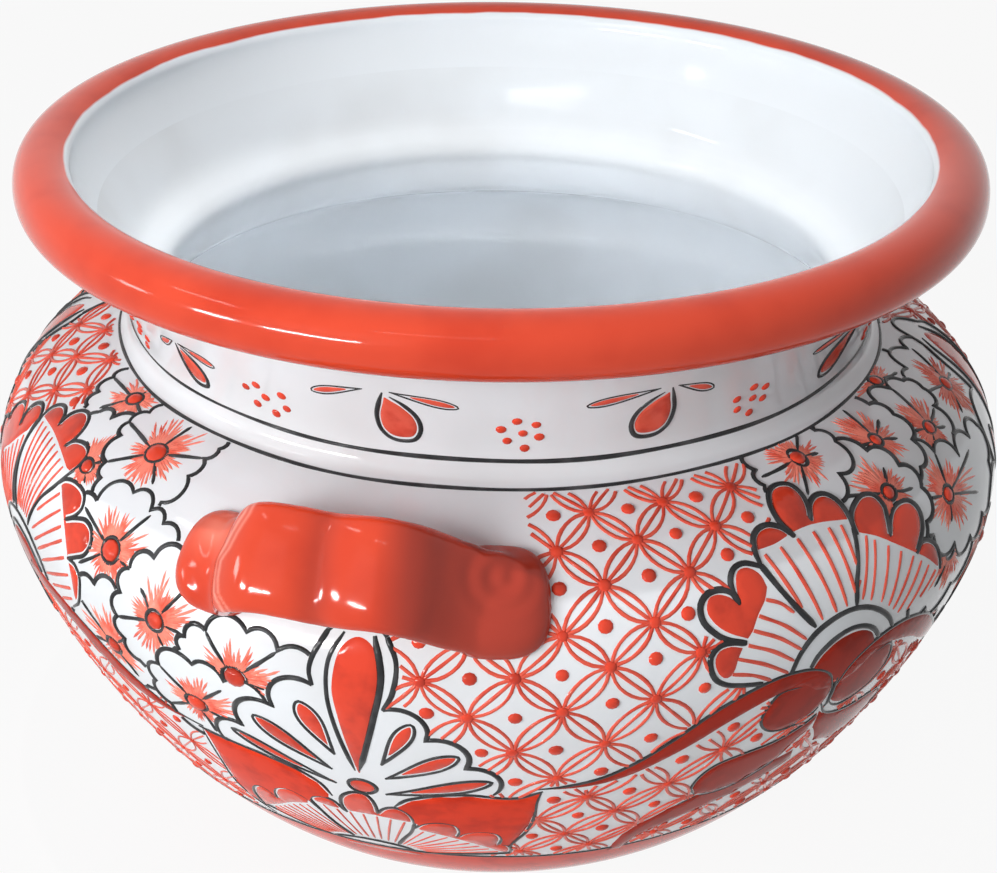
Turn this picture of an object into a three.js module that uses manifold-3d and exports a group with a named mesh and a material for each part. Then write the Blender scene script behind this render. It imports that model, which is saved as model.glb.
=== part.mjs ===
// Round-bellied ceramic planter with a rolled lip and two lobed handles.
// Millimetres, +Z up, origin on the resting plane below the middle of the pot.
// The handles stand on the -Y and +Y sides.
import * as THREE from "three";
import { mergeVertices } from "three/addons/utils/BufferGeometryUtils.js";
import Module from "manifold-3d";

// Overall form
const totalHeight = 292.5;
const rimRadius = 200;
const bellyRadius = 216.7;
const bellyHeight = 157;
const footRadius = 120;
const wallThickness = 8.5;
const baseBandHeight = 46;

// Lower bowl, as the handles of its curve
const bowlFlareOut = 52.3;
const bowlFlareUp = 30.5;
const bowlBellyPull = 33;

// Shoulder, and the neck above it
const neckLineHeight = 211;
const neckLineRadius = 163.6;
const shoulderRise = 19;
const shoulderShelf = 37.4;
const shoulderShelfDrop = 6.5;
const throatPull = 14.6;
const throatPullUp = 3;
const neckTopInset = 22;
const coveBend = 14;
const coveBendDrop = 24;

// Lip: a broad rounded roll with a small inner corner
const lipWidth = 23;
const lipDepth = 25.5;
const lipCrestInset = 13;
const lipShoulder = 11;
const lipCrestPull = 5.5;
const lipUnderPull = 6.5;
const lipInnerDrop = 5.5;
const lipInnerStraight = 5;
const lipInnerBend = 3.5;
const lipInnerBendDrop = 6;
const lipSplitDrop = 1;

// Foot ring, floor and drain hole
const footRingHeight = 6;
const footRingWidth = 12;
const floorThickness = 9;
const drainRadius = 11;

// Handles: a strap that stands out in two lobes between two pads pressed on the shoulder
const handleHeight = 186.5;
const padSpacing = 106;
const padLength = 42;
const padTall = 37;
const padRise = 9.5;
const strapTall = 38;
const strapThickness = 13.5;
const strapEndTall = 29;
const strapEndThickness = 8;
const strapLean = 22;
const strapTaper = 0.5;
const strapSquareness = 0.75;
const lobeSpacing = 37;
const lobeStandOff = 24;
const valleyStandOff = 17;
const lobeLift = 10;
const valleyLift = 11;
const flankSpacing = 68;
const flankStandOff = 17;
const flankLift = 6;
const seatSpacing = 86;
const seatStandOff = 8.5;
const seatLift = 2;
const padStandOff = 4;

// Clearance between pieces that meet on a curved face
const joint = 0.3;

// Points closer than these are one point: across a cut outline, and in a finished skin
const shortestEdge = 0.03;
const weldDistance = 0.003;

// Fineness of the curves
const roundSegments = 64;
const wallSteps = 7;
const lipSteps = 4;
const padSegments = 18;
const strapSteps = 28;
const strapSides = 12;

const wasm = await Module();
wasm.setup();

const glazeRed = { color: 0xe04a2e, roughness: 0.16, metalness: 0 };
const glazeWhite = { color: 0xe9edf0, roughness: 0.18, metalness: 0 };
const bareClay = { color: 0xb98a6a, roughness: 0.85, metalness: 0 };

function bezier(steps, a, b, c, d) {
  const curve = new THREE.CubicBezierCurve(
    new THREE.Vector2(...a),
    new THREE.Vector2(...b),
    new THREE.Vector2(...c),
    new THREE.Vector2(...d),
  );
  return curve.getPoints(steps);
}

// The outside of the wall, from the foot to the underside of the lip, as radius and height.
const lipBottom = totalHeight - lipDepth;
const lowerBowlCurve = bezier(
  wallSteps,
  [footRadius, 0],
  [footRadius + bowlFlareOut, bowlFlareUp],
  [bellyRadius, bellyHeight - bowlBellyPull],
  [bellyRadius, bellyHeight],
);
const shoulderCurve = bezier(
  wallSteps,
  [bellyRadius, bellyHeight],
  [bellyRadius, bellyHeight + shoulderRise],
  [neckLineRadius + shoulderShelf, neckLineHeight - shoulderShelfDrop],
  [neckLineRadius, neckLineHeight],
);
const neckTopRadius = rimRadius - neckTopInset;
const neckCurve = bezier(
  wallSteps,
  [neckLineRadius, neckLineHeight],
  [neckLineRadius - throatPull, neckLineHeight + throatPullUp],
  [neckTopRadius - coveBend, lipBottom - coveBendDrop],
  [neckTopRadius, lipBottom],
);
const outerWall = [...lowerBowlCurve, ...shoulderCurve.slice(1), ...neckCurve.slice(1)];

// Unit normal of the outer wall at one of its points, facing out of the pot.
function outwardNormal(points, i) {
  const before = points[Math.max(i - 1, 0)];
  const after = points[Math.min(i + 1, points.length - 1)];
  const along = new THREE.Vector2().subVectors(after, before).normalize();
  return new THREE.Vector2(along.y, -along.x);
}

function offsetWall(distance) {
  return outerWall.map((p, i) => p.clone().addScaledVector(outwardNormal(outerWall, i), distance));
}

const innerWall = offsetWall(-wallThickness);

// The lip, from the top of the neck outside, over the crest, to the top of the wall inside.
function lipCurve() {
  const equator = totalHeight - lipCrestInset;
  const crest = rimRadius - lipCrestInset;
  const inner = rimRadius - lipWidth;
  const innerTop = totalHeight - lipInnerDrop;
  const wallTop = innerWall[innerWall.length - 1];
  const under = bezier(
    lipSteps,
    [neckTopRadius, lipBottom],
    [neckTopRadius + lipUnderPull, lipBottom],
    [rimRadius, lipBottom],
    [rimRadius, equator],
  );
  const over = bezier(
    lipSteps,
    [rimRadius, equator],
    [rimRadius, equator + lipShoulder],
    [crest + lipCrestPull, totalHeight],
    [crest, totalHeight],
  );
  const corner = bezier(
    lipSteps,
    [crest, totalHeight],
    [(crest + inner) / 2, totalHeight],
    [inner, (totalHeight + innerTop) / 2],
    [inner, innerTop],
  );
  const inside = bezier(
    lipSteps,
    [inner, innerTop],
    [inner, innerTop - lipInnerStraight],
    [wallTop.x + lipInnerBend, wallTop.y + lipInnerBendDrop],
    [wallTop.x, wallTop.y],
  );
  return [...under.slice(1), ...over.slice(1), ...corner.slice(1), ...inside.slice(1, -1)];
}

// The cross-section of the whole wall, closed, anticlockwise with the radius to the right.
const wallSection = [...outerWall, ...lipCurve(), ...[...innerWall].reverse()];

// One half-plane cut of a closed outline: keeps what lies on the given side of a height.
function cutAtHeight(outline, height, keepAbove) {
  const kept = [];
  const inside = (p) => (keepAbove ? p.y >= height : p.y <= height);
  outline.forEach((p, i) => {
    const q = outline[(i + 1) % outline.length];
    if (inside(p)) kept.push(p);
    if (inside(p) !== inside(q)) {
      const crossing = p.clone().lerp(q, (height - p.y) / (q.y - p.y));
      crossing.y = height;
      kept.push(crossing);
    }
  });
  return kept.filter((p, i) => p.distanceTo(kept[(i + 1) % kept.length]) > shortestEdge);
}

function wallBetween(low, high) {
  return cutAtHeight(cutAtHeight(wallSection, low, true), high, false);
}

function innerRadiusAt(height) {
  for (let i = 1; i < innerWall.length; i += 1) {
    const a = innerWall[i - 1];
    const b = innerWall[i];
    if (a.y <= height && height <= b.y) return THREE.MathUtils.mapLinear(height, a.y, b.y, a.x, b.x);
  }
  return innerWall[0].x;
}

// Radius, height and normal of the outer wall where it passes a height below the neck line.
function wallAt(height) {
  for (let i = 1; i < outerWall.length; i += 1) {
    const a = outerWall[i - 1];
    const b = outerWall[i];
    if (a.y <= height && height <= b.y) {
      const share = (height - a.y) / (b.y - a.y);
      const normal = outwardNormal(outerWall, i - 1).lerp(outwardNormal(outerWall, i), share);
      return { radius: THREE.MathUtils.lerp(a.x, b.x, share), normal: normal.normalize() };
    }
  }
  throw new Error("the handles sit above the wall");
}

// Turns a closed outline round the pot's axis.
function turned(outline) {
  const closed = [...outline, outline[0].clone()];
  const geometry = new THREE.LatheGeometry(closed, roundSegments);
  geometry.rotateX(Math.PI / 2);
  return geometry;
}

function toSolid(geometry) {
  const bare = new THREE.BufferGeometry();
  bare.setAttribute("position", geometry.getAttribute("position"));
  bare.setIndex(geometry.index);
  const merged = mergeVertices(bare, weldDistance);
  return new wasm.Manifold(
    new wasm.Mesh({
      numProp: 3,
      vertProperties: merged.getAttribute("position").array,
      triVerts: new Uint32Array(merged.index.array),
    }),
  );
}

function toGeometry(solid) {
  const mesh = solid.getMesh();
  const geometry = new THREE.BufferGeometry();
  geometry.setAttribute("position", new THREE.BufferAttribute(mesh.vertProperties, mesh.numProp));
  geometry.setIndex(new THREE.BufferAttribute(mesh.triVerts, 1));
  geometry.computeVertexNormals();
  return geometry;
}

const planter = new THREE.Group();

function addPiece(name, geometry, look) {
  const mesh = new THREE.Mesh(geometry, new THREE.MeshStandardMaterial(look));
  mesh.name = name;
  planter.add(mesh);
}

// Foot ring: the unglazed ring that the pot stands on.
const footOuterTop = wallBetween(footRingHeight, bellyHeight)[0].x;
const footRing = [
  new THREE.Vector2(footRadius - footRingWidth, 0),
  new THREE.Vector2(footRadius, 0),
  new THREE.Vector2(footOuterTop, footRingHeight),
  new THREE.Vector2(footRadius - footRingWidth, footRingHeight),
];
addPiece("foot_ring", turned(footRing), bareClay);

// Floor: a disc inside the bowl's foot, with the drain hole through its middle.
const floorTop = footRingHeight + floorThickness;
const floorEdge = innerWall[0].x - joint;
const floor = [
  new THREE.Vector2(drainRadius, footRingHeight),
  new THREE.Vector2(floorEdge, footRingHeight),
  new THREE.Vector2(floorEdge, Math.max(innerWall[0].y, footRingHeight + joint)),
  new THREE.Vector2(innerRadiusAt(floorTop) - 2 * joint, floorTop),
  new THREE.Vector2(drainRadius, floorTop),
];
addPiece("floor_disc", turned(floor), glazeWhite);

// Wall: the red band round the base, then bowl, shoulder, neck and lip, one above the other.
const lipSplit = lipBottom - lipSplitDrop;
addPiece("base_band", turned(wallBetween(footRingHeight, baseBandHeight)), glazeRed);
addPiece("lower_bowl", turned(wallBetween(baseBandHeight, bellyHeight)), glazeWhite);
addPiece("shoulder", turned(wallBetween(bellyHeight, neckLineHeight)), glazeWhite);
addPiece("neck_collar", turned(wallBetween(neckLineHeight, lipSplit)), glazeWhite);
addPiece("rolled_rim", turned(wallBetween(lipSplit, totalHeight)), glazeRed);

// What a handle piece may not enter: the pot's outer wall with its clearance, closed to the axis.
const skin = offsetWall(joint);
const core = toSolid(
  turned([
    ...skin,
    new THREE.Vector2(skin[skin.length - 1].x, totalHeight),
    new THREE.Vector2(drainRadius, totalHeight),
    new THREE.Vector2(drainRadius, skin[0].y),
  ]),
);

// A handle point: arc along the wall from the handle's middle, stand-off and lift from the wall.
const seat = wallAt(handleHeight);
function handlePoint(arc, standOff, lift) {
  const radius = seat.radius + standOff * seat.normal.x - lift * seat.normal.y;
  const height = handleHeight + standOff * seat.normal.y + lift * seat.normal.x;
  const angle = arc / seat.radius;
  return new THREE.Vector3(radius * Math.sin(angle), -radius * Math.cos(angle), height);
}

function padGeometry(side, grow) {
  const geometry = new THREE.SphereGeometry(1, padSegments, padSegments / 2);
  const angle = (side * padSpacing) / 2 / seat.radius;
  const outward = new THREE.Vector3(Math.sin(angle), -Math.cos(angle), 0);
  const round = new THREE.Vector3(Math.cos(angle), Math.sin(angle), 0);
  const normal = outward.clone().multiplyScalar(seat.normal.x);
  normal.z = seat.normal.y;
  const slope = new THREE.Vector3().crossVectors(normal, round);
  const place = new THREE.Matrix4().makeBasis(
    round.clone().multiplyScalar(padLength / 2 + grow),
    normal.clone().multiplyScalar(padRise + grow),
    slope.clone().multiplyScalar(-padTall / 2 - grow),
  );
  place.setPosition(handlePoint((side * padSpacing) / 2, 0, 0));
  geometry.applyMatrix4(place);
  return place.determinant() < 0 ? flipped(geometry) : geometry;
}

function flipped(geometry) {
  const index = geometry.index.array;
  for (let i = 0; i < index.length; i += 3) {
    [index[i + 1], index[i + 2]] = [index[i + 2], index[i + 1]];
  }
  return geometry;
}

// The strap's middle line, from one pad over both lobes to the other.
function strapRoute() {
  const right = [
    [lobeSpacing / 2, lobeStandOff, lobeLift],
    [flankSpacing / 2, flankStandOff, flankLift],
    [seatSpacing / 2, seatStandOff, seatLift],
    [padSpacing / 2, padStandOff, 0],
  ];
  const left = right.map(([arc, standOff, lift]) => [-arc, standOff, lift]).reverse();
  const stations = [...left, [0, valleyStandOff, valleyLift], ...right];
  return new THREE.CatmullRomCurve3(stations.map((s) => handlePoint(...s)), false, "centripetal");
}

// The strap's skin: rounded flat sections along the route, closed by a fan at each end.
function strapGeometry() {
  const route = strapRoute();
  const lean = THREE.MathUtils.degToRad(strapLean);
  const positions = [];
  for (let i = 0; i <= strapSteps; i += 1) {
    const middle = route.getPointAt(i / strapSteps);
    const along = route.getTangentAt(i / strapSteps);
    const outward = new THREE.Vector3(middle.x, middle.y, 0).normalize();
    const tall = outward.multiplyScalar(-Math.sin(lean));
    tall.z = Math.cos(lean);
    tall.addScaledVector(along, -tall.dot(along)).normalize();
    const thick = new THREE.Vector3().crossVectors(along, tall);
    const fullness = Math.sin((Math.PI * i) / strapSteps) ** strapTaper;
    const halfTall = THREE.MathUtils.lerp(strapEndTall, strapTall, fullness) / 2;
    const halfThick = THREE.MathUtils.lerp(strapEndThickness, strapThickness, fullness) / 2;
    for (let j = 0; j < strapSides; j += 1) {
      const turn = (2 * Math.PI * j) / strapSides;
      const point = middle.clone();
      point.addScaledVector(tall, halfTall * softened(Math.cos(turn)));
      point.addScaledVector(thick, halfThick * softened(Math.sin(turn)));
      positions.push(point.x, point.y, point.z);
    }
  }
  const index = [];
  const last = strapSteps * strapSides;
  for (let j = 0; j < strapSides; j += 1) {
    const next = (j + 1) % strapSides;
    for (let i = 0; i < last; i += strapSides) {
      index.push(i + j, i + next, i + strapSides + j);
      index.push(i + next, i + strapSides + next, i + strapSides + j);
    }
    if (j > 0 && next > 0) {
      index.push(0, next, j);
      index.push(last, last + j, last + next);
    }
  }
  const geometry = new THREE.BufferGeometry();
  geometry.setAttribute("position", new THREE.Float32BufferAttribute(positions, 3));
  geometry.setIndex(index);
  return geometry;
}

// Squares an ellipse's section a little, so that the strap has a broad face and round edges.
function softened(value) {
  return Math.sign(value) * Math.abs(value) ** strapSquareness;
}

function addHandle(end, halfTurns) {
  const sides = [
    ["left", -1],
    ["right", 1],
  ];
  let strap = toSolid(strapGeometry()).subtract(core);
  const pieces = sides.map(([word, side]) => {
    strap = strap.subtract(toSolid(padGeometry(side, joint)));
    const pad = toSolid(padGeometry(side, 0)).subtract(core);
    return [`${end}_handle_${word}_pad`, toGeometry(pad)];
  });
  pieces.push([`${end}_handle_strap`, toGeometry(strap)]);
  for (const [name, geometry] of pieces) {
    geometry.rotateZ(Math.PI * halfTurns);
    addPiece(name, geometry, glazeRed);
  }
}

addHandle("front", 0);
addHandle("back", 1);

export default planter;
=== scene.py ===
import math
import random

import bpy
import numpy as np
from mathutils import Matrix, Vector
from mathutils.geometry import delaunay_2d_cdt


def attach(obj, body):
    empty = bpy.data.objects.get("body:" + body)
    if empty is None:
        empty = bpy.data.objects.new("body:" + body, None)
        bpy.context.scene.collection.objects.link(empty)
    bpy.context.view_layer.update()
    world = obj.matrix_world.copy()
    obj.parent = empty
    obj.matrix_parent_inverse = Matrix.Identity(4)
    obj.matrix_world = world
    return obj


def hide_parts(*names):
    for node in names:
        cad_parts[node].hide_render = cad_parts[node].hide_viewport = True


# A round-bellied glazed planter. Metres, +Z up, handles on the -Y and +Y sides.
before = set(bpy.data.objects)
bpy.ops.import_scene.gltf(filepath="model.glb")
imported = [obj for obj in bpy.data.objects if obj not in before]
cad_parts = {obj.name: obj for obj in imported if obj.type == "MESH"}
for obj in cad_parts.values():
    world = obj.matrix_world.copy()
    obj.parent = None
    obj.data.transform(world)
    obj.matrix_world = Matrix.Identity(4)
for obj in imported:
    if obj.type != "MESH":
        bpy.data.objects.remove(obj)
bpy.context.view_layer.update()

mm = 0.001
chance = random.Random(11)


def addObject(name, data):
    ob = bpy.data.objects.new(name, data)
    bpy.context.scene.collection.objects.link(ob)
    return ob


# Camera
camera = {
    "turn": 14.3,  # degrees round from the front handle, towards +X
    "away": 0.795,
    "height": 0.566,
    "down": 27.79,
    "roll": 0.61,
    "lens": 72.2,
    "sensor": 36,
}


def addCamera(c):
    turn, down, roll = (math.radians(c[k]) for k in ("turn", "down", "roll"))
    ahead = Vector((-math.sin(turn) * math.cos(down), math.cos(turn) * math.cos(down), -math.sin(down)))
    level = Vector((math.cos(turn), math.sin(turn), 0))
    lift = level.cross(ahead)
    right = math.cos(roll) * level + math.sin(roll) * lift
    up = right.cross(ahead)
    data = bpy.data.cameras.new("camera")
    data.lens = c["lens"]
    data.sensor_width = c["sensor"]
    data.clip_start = 0.05
    ob = addObject("camera", data)
    place = Matrix((right, up, -ahead)).transposed().to_4x4()
    place.translation = (c["away"] * math.sin(turn), -c["away"] * math.cos(turn), c["height"])
    ob.matrix_world = place
    bpy.context.scene.camera = ob


addCamera(camera)
print("camera placed")


# The pot's form
potForm = {  # curves in mm, as (radius, height)
    "lower": [(120, 0), (172.3, 30.5), (216.7, 124), (216.7, 157)],
    "shoulder": [(216.7, 157), (216.7, 176), (201, 204.5), (163.6, 211)],
    "neck": [(163.6, 211), (149, 214), (164, 243), (178, 267)],
    "thickness": 8.5,
    "throat": {"at": 290, "more": 7.5, "reach": 9},  # the wall is thicker inside the throat
    "footHeight": 6,
    "lipFrom": 266,
    "steps": 288,
}
lipForm = {
    "under": [(178, 267), (184.5, 267), (200, 267), (200, 279.5)],
    "over": [(200, 279.5), (200, 290.5), (192.5, 292.5), (187, 292.5)],
    "corner": [(187, 292.5), (182, 292.5), (177, 289.75), (177, 287)],
    "inside": [(177, 287), (177, 282), (174.2, 277.3), (170.7, 271.3)],
}


def bezier(points, count):
    p = np.array(points, float)
    t = np.linspace(0, 1, count)[:, None]
    return (1 - t) ** 3 * p[0] + 3 * (1 - t) ** 2 * t * p[1] + 3 * (1 - t) * t * t * p[2] + t**3 * p[3]


def joined(parts, count):
    runs = [bezier(p, count) for p in parts]
    return np.vstack([runs[0]] + [r[1:] for r in runs[1:]])


outer = joined([potForm["lower"], potForm["shoulder"], potForm["neck"]], 400)
outerAlong = np.r_[0, np.cumsum(np.hypot(*np.diff(outer, axis=0).T))]
slope = np.gradient(outer, outerAlong, axis=0)
slope /= np.hypot(*slope.T)[:, None]


# Radius, height, and the normal's two parts, at a distance along the outer wall
def wallAt(along):
    r, z, dr, dz = (np.interp(along, outerAlong, c) for c in (*outer.T, *slope.T))
    return r, z, dz, -dr


def onWall(deg, along, lift=0.0):
    turn = np.radians(deg)
    r, z, nr, nz = wallAt(along)
    r = r + lift * nr
    return np.stack([r * np.sin(turn), -r * np.cos(turn), z + lift * nz], -1) * mm


# Glazes
glazes = {
    "white": {"colour": (0.80, 0.835, 0.87), "second": (0.70, 0.72, 0.74), "patch": 9, "wave": 0.05,
              "shine": 0.42},
    "red": {"colour": (0.68, 0.062, 0.024), "second": (0.58, 0.044, 0.016), "patch": 22, "wave": 0.08,
            "shine": 0.24},
    "redPaint": {"colour": (0.74, 0.060, 0.026), "second": (0.52, 0.040, 0.020), "patch": 70,
                 "wave": 0.10, "shine": 0.2},
    "lowPaint": {"colour": (0.76, 0.050, 0.018), "second": (0.56, 0.034, 0.014), "patch": 70,
                 "wave": 0.06, "shine": 0.02},
    "deepPaint": {"colour": (0.42, 0.030, 0.015), "second": (0.30, 0.024, 0.013), "patch": 70,
                  "wave": 0.06, "shine": 0.03},
    "redLine": {"colour": (0.76, 0.105, 0.062), "second": (0.62, 0.056, 0.030), "patch": 110, "wave": 0.0,
                "shine": 0.2},
    "petalWash": {"colour": (0.92, 0.260, 0.185), "second": (0.84, 0.110, 0.065), "patch": 150,
                  "wave": 0.0, "shine": 0.15},
    "charcoal": {"colour": (0.026, 0.027, 0.029), "second": (0.062, 0.064, 0.068), "patch": 90,
                 "wave": 0.0, "shine": 0.15},
    "thinRed": (0.93, 0.33, 0.24),
    # the darker red of the handle's painted shade
    "paintedShadeRed": (0.38, 0.042, 0.024),
    "clayDark": (0.30, 0.15, 0.085),
    "clayLight": (0.52, 0.30, 0.18),
    "claySpeck": 900,
}


# Sets a shader node's sockets; a value that is another node's output is linked
def plug(tree, node, sockets):
    for key, value in sockets.items():
        if isinstance(value, bpy.types.NodeSocket):
            tree.links.new(value, node.inputs[key])
        else:
            node.inputs[key].default_value = value


def addNode(tree, kind, sockets=None, **settings):
    node = tree.nodes.new(kind)
    for key, value in settings.items():
        setattr(node, key, value)
    plug(tree, node, sockets or {})
    return node.outputs


def maths(tree, operation, *values):
    return addNode(tree, "ShaderNodeMath", dict(enumerate(values)), operation=operation)["Value"]


def blended(tree, share, first, second):
    sockets = {"Factor": share, "A": first, "B": second}
    return addNode(tree, "ShaderNodeMix", sockets, data_type="RGBA")["Result"]


def newMaterial(name):
    m = bpy.data.materials.new(name)
    m.use_nodes = True
    return m, m.node_tree, m.node_tree.nodes["Principled BSDF"]


# Two glaze colours mixed by soft cloudy patches, with a faint grain over them
def glazeMottle():
    tree = bpy.data.node_groups.new("glazeMottle", "ShaderNodeTree")
    for way, sockets in (
        ("INPUT", {"Colour": "Color", "Second": "Color", "Patch": "Float", "Wave": "Float"}),
        ("OUTPUT", {"Colour": "Color", "Roughness": "Float", "Height": "Float"}),
    ):
        for name, kind in sockets.items():
            tree.interface.new_socket(name, in_out=way, socket_type=f"NodeSocket{kind}")
    given = addNode(tree, "NodeGroupInput")
    where = addNode(tree, "ShaderNodeTexCoord")["Object"]
    patches = {"Detail": 3, "Vector": where, "Scale": given["Patch"]}
    cloud = addNode(tree, "ShaderNodeTexNoise", patches)["Fac"]
    span = {"From Min": 0.42, "From Max": 0.72, "Value": cloud}
    soft = addNode(tree, "ShaderNodeMapRange", span, interpolation_type="SMOOTHSTEP")["Result"]
    swell = addNode(tree, "ShaderNodeTexNoise", {"Scale": 38, "Detail": 1.5, "Vector": where})["Fac"]
    rough = {"To Min": 0.06, "To Max": 0.14, "Value": cloud}
    plug(tree, tree.nodes.new("NodeGroupOutput"), {
        "Colour": blended(tree, soft, given["Colour"], given["Second"]),
        "Roughness": addNode(tree, "ShaderNodeMapRange", rough)["Result"],
        "Height": maths(tree, "MULTIPLY", swell, given["Wave"]),
    })
    return tree


mottle = glazeMottle()


def glazeMaterial(name, key):
    g = glazes[key]
    m, tree, shader = newMaterial(name)
    look = {"Colour": (*g["colour"], 1), "Second": (*g["second"], 1), "Patch": g["patch"], "Wave": g["wave"]}
    group = addNode(tree, "ShaderNodeGroup", look, node_tree=mottle)
    bump = addNode(tree, "ShaderNodeBump", {"Strength": 0.35, "Distance": 0.004, "Height": group["Height"]})
    plug(tree, shader, {
        "Base Color": group["Colour"],
        "Roughness": group["Roughness"],
        "Normal": bump["Normal"],
        "Specular IOR Level": g["shine"],
    })
    return m, tree, shader, group["Colour"]


whiteGlaze, redPaint, lowPaint, deepPaint, redLine, petalWash, charcoalPaint = (
    glazeMaterial(name, key)[0]
    for name, key in (
        ("whiteGlaze", "white"),
        ("redPaint", "redPaint"),
        ("lowPaint", "lowPaint"),
        ("deepPaint", "deepPaint"),
        ("redLine", "redLine"),
        ("petalWash", "petalWash"),
        ("charcoalPaint", "charcoal"),
    )
)


def clayMaterial():
    m, tree, shader = newMaterial("bareClay")
    where = addNode(tree, "ShaderNodeTexCoord")["Object"]
    grain = {"Scale": glazes["claySpeck"], "Detail": 4, "Vector": where}
    speck = addNode(tree, "ShaderNodeTexNoise", grain)["Fac"]
    ramp = tree.nodes.new("ShaderNodeValToRGB")
    ramp.color_ramp.elements[0].color = (*glazes["clayDark"], 1)
    ramp.color_ramp.elements[1].color = (*glazes["clayLight"], 1)
    plug(tree, ramp, {"Fac": speck})
    bump = addNode(tree, "ShaderNodeBump", {"Strength": 0.4, "Distance": 0.0006, "Height": speck})
    plug(tree, shader, {"Base Color": ramp.outputs["Color"], "Roughness": 0.85, "Normal": bump["Normal"]})
    return m


bareClay = clayMaterial()


# Red glaze, but white where the roll turns down into the mouth; the edge wanders a little
def rimMaterial(redFrom):
    m, tree, shader, red = glazeMaterial("rimGlaze", "red")
    where = addNode(tree, "ShaderNodeTexCoord")["Object"]
    apart = addNode(tree, "ShaderNodeSeparateXYZ", {"Vector": where})
    flat = addNode(tree, "ShaderNodeCombineXYZ", {"X": apart["X"], "Y": apart["Y"]})["Vector"]
    reach = addNode(tree, "ShaderNodeVectorMath", {0: flat}, operation="LENGTH")["Value"]
    wander = addNode(tree, "ShaderNodeTexNoise", {"Scale": 26, "Vector": where})["Fac"]
    shift = maths(tree, "MULTIPLY_ADD", wander, 0.0022, reach)
    span = {"From Min": redFrom, "From Max": redFrom + 0.0008, "Value": shift}
    edge = addNode(tree, "ShaderNodeMapRange", span)["Result"]
    plug(tree, shader, {"Base Color": blended(tree, edge, (*glazes["white"]["colour"], 1), red)})
    return m


# Turned pieces
def onlySelect(*obs):
    if bpy.context.object and bpy.context.object.mode != "OBJECT":
        bpy.ops.object.mode_set(mode="OBJECT")
    bpy.ops.object.select_all(action="DESELECT")
    for ob in obs:
        ob.select_set(True)
    bpy.context.view_layer.objects.active = obs[0]


# Does jobs on the whole mesh in edit mode
def editing(ob, *jobs):
    onlySelect(ob)
    bpy.ops.object.mode_set(mode="EDIT")
    for job, settings in jobs:
        bpy.ops.mesh.select_all(action="SELECT")
        job(**settings)
    bpy.ops.object.mode_set(mode="OBJECT")


def meshObject(name, verts, edges, faces, *materials):
    mesh = bpy.data.meshes.new(name)
    mesh.from_pydata([tuple(v) for v in verts], edges, faces)
    for m in materials:
        mesh.materials.append(m)
    return addObject(name, mesh)


# A copy on the other side of the pot
def halfTurned(ob, name):
    other = addObject(name, ob.data.copy())
    other.data.transform(Matrix.Rotation(math.pi, 4, "Z"))
    return other


# Spins a closed section of (radius, height) in mm round the pot's axis
def turn(name, section, steps, *materials):
    verts = [(r * mm, 0, z * mm) for r, z in section]
    edges = [(i, (i + 1) % len(verts)) for i in range(len(verts))]
    ob = meshObject(name, verts, edges, [], *materials)
    editing(
        ob,
        (bpy.ops.mesh.spin, {"steps": steps, "angle": 2 * math.pi, "center": (0, 0, 0), "axis": (0, 0, 1)}),
        (bpy.ops.mesh.remove_doubles, {"threshold": 0.01 * mm}),
        (bpy.ops.mesh.normals_make_consistent, {"inside": False}),
    )
    bpy.ops.object.shade_smooth_by_angle(angle=math.radians(40))
    return ob


def finished(piece, slot, *nodes):
    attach(piece, "root")
    if nodes:
        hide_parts(*nodes)


def innerAt(along):
    r, z, nr, nz = wallAt(along)
    throat = potForm["throat"]
    t = potForm["thickness"] + throat["more"] * np.exp(-(((along - throat["at"]) / throat["reach"]) ** 2))
    return np.stack([r - t * nr, z - t * nz], -1)


def alongAtHeight(height):
    return float(np.interp(height, outer[:, 1], outerAlong))


bandTop = 46  # the painted base band's upper edge
alongBand, alongLip = alongAtHeight(bandTop), alongAtHeight(potForm["lipFrom"])
innerLine = innerAt(np.linspace(0, outerAlong[-1], 400))


def innerBetween(low, high, count):
    heights = np.linspace(high, low, count)
    return np.stack([np.interp(heights, innerLine[:, 1], innerLine[:, 0]), heights], -1)


def outerBetween(start, stop, step):
    s = np.linspace(start, stop, int((stop - start) / step) + 2)
    r, z, _, _ = wallAt(s)
    return np.stack([r, z], -1)


wall = turn(
    "bowlWall",
    np.vstack([outerBetween(alongBand, alongLip, 2.8), innerBetween(bandTop, potForm["lipFrom"], 60)]),
    potForm["steps"],
    whiteGlaze,
)
finished(wall, "white_glaze", "lower_bowl", "shoulder", "neck_collar")

foot = potForm["footHeight"]
band = turn(
    "baseBand",
    np.vstack([outerBetween(alongAtHeight(foot), alongBand, 2.8), innerBetween(foot, bandTop, 16)]),
    potForm["steps"],
    lowPaint,
    whiteGlaze,
)
for f in band.data.polygons:  # the inside of the band is white
    x, y, _ = f.center
    f.material_index = int(f.normal.dot(Vector((x, y, 0))) < 0)
finished(band, "orange_red_glaze", "base_band")

lipSection = np.vstack(
    [
        bezier(lipForm["under"], 22),
        bezier(lipForm["over"], 22)[1:],
        bezier(lipForm["corner"], 14)[1:],
        bezier(lipForm["inside"], 14)[1:],
        innerBetween(potForm["lipFrom"], 271, 5)[1:],
        outerBetween(alongLip, outerAlong[-1], 0.6)[:-1],
    ]
)
rim = turn("rolledLip", lipSection, 320, rimMaterial(0.1795))
finished(rim, "orange_red_glaze", "rolled_rim")
print("wall and lip turned")

floorForm = {
    "top": 15,
    "drain": 11,
    "drainRound": 2.5,
    "edgeRound": 14,
    "edgeIn": 6,  # the underside stops this far inside the wall's foot
    "under": 6.3,
}


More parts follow.
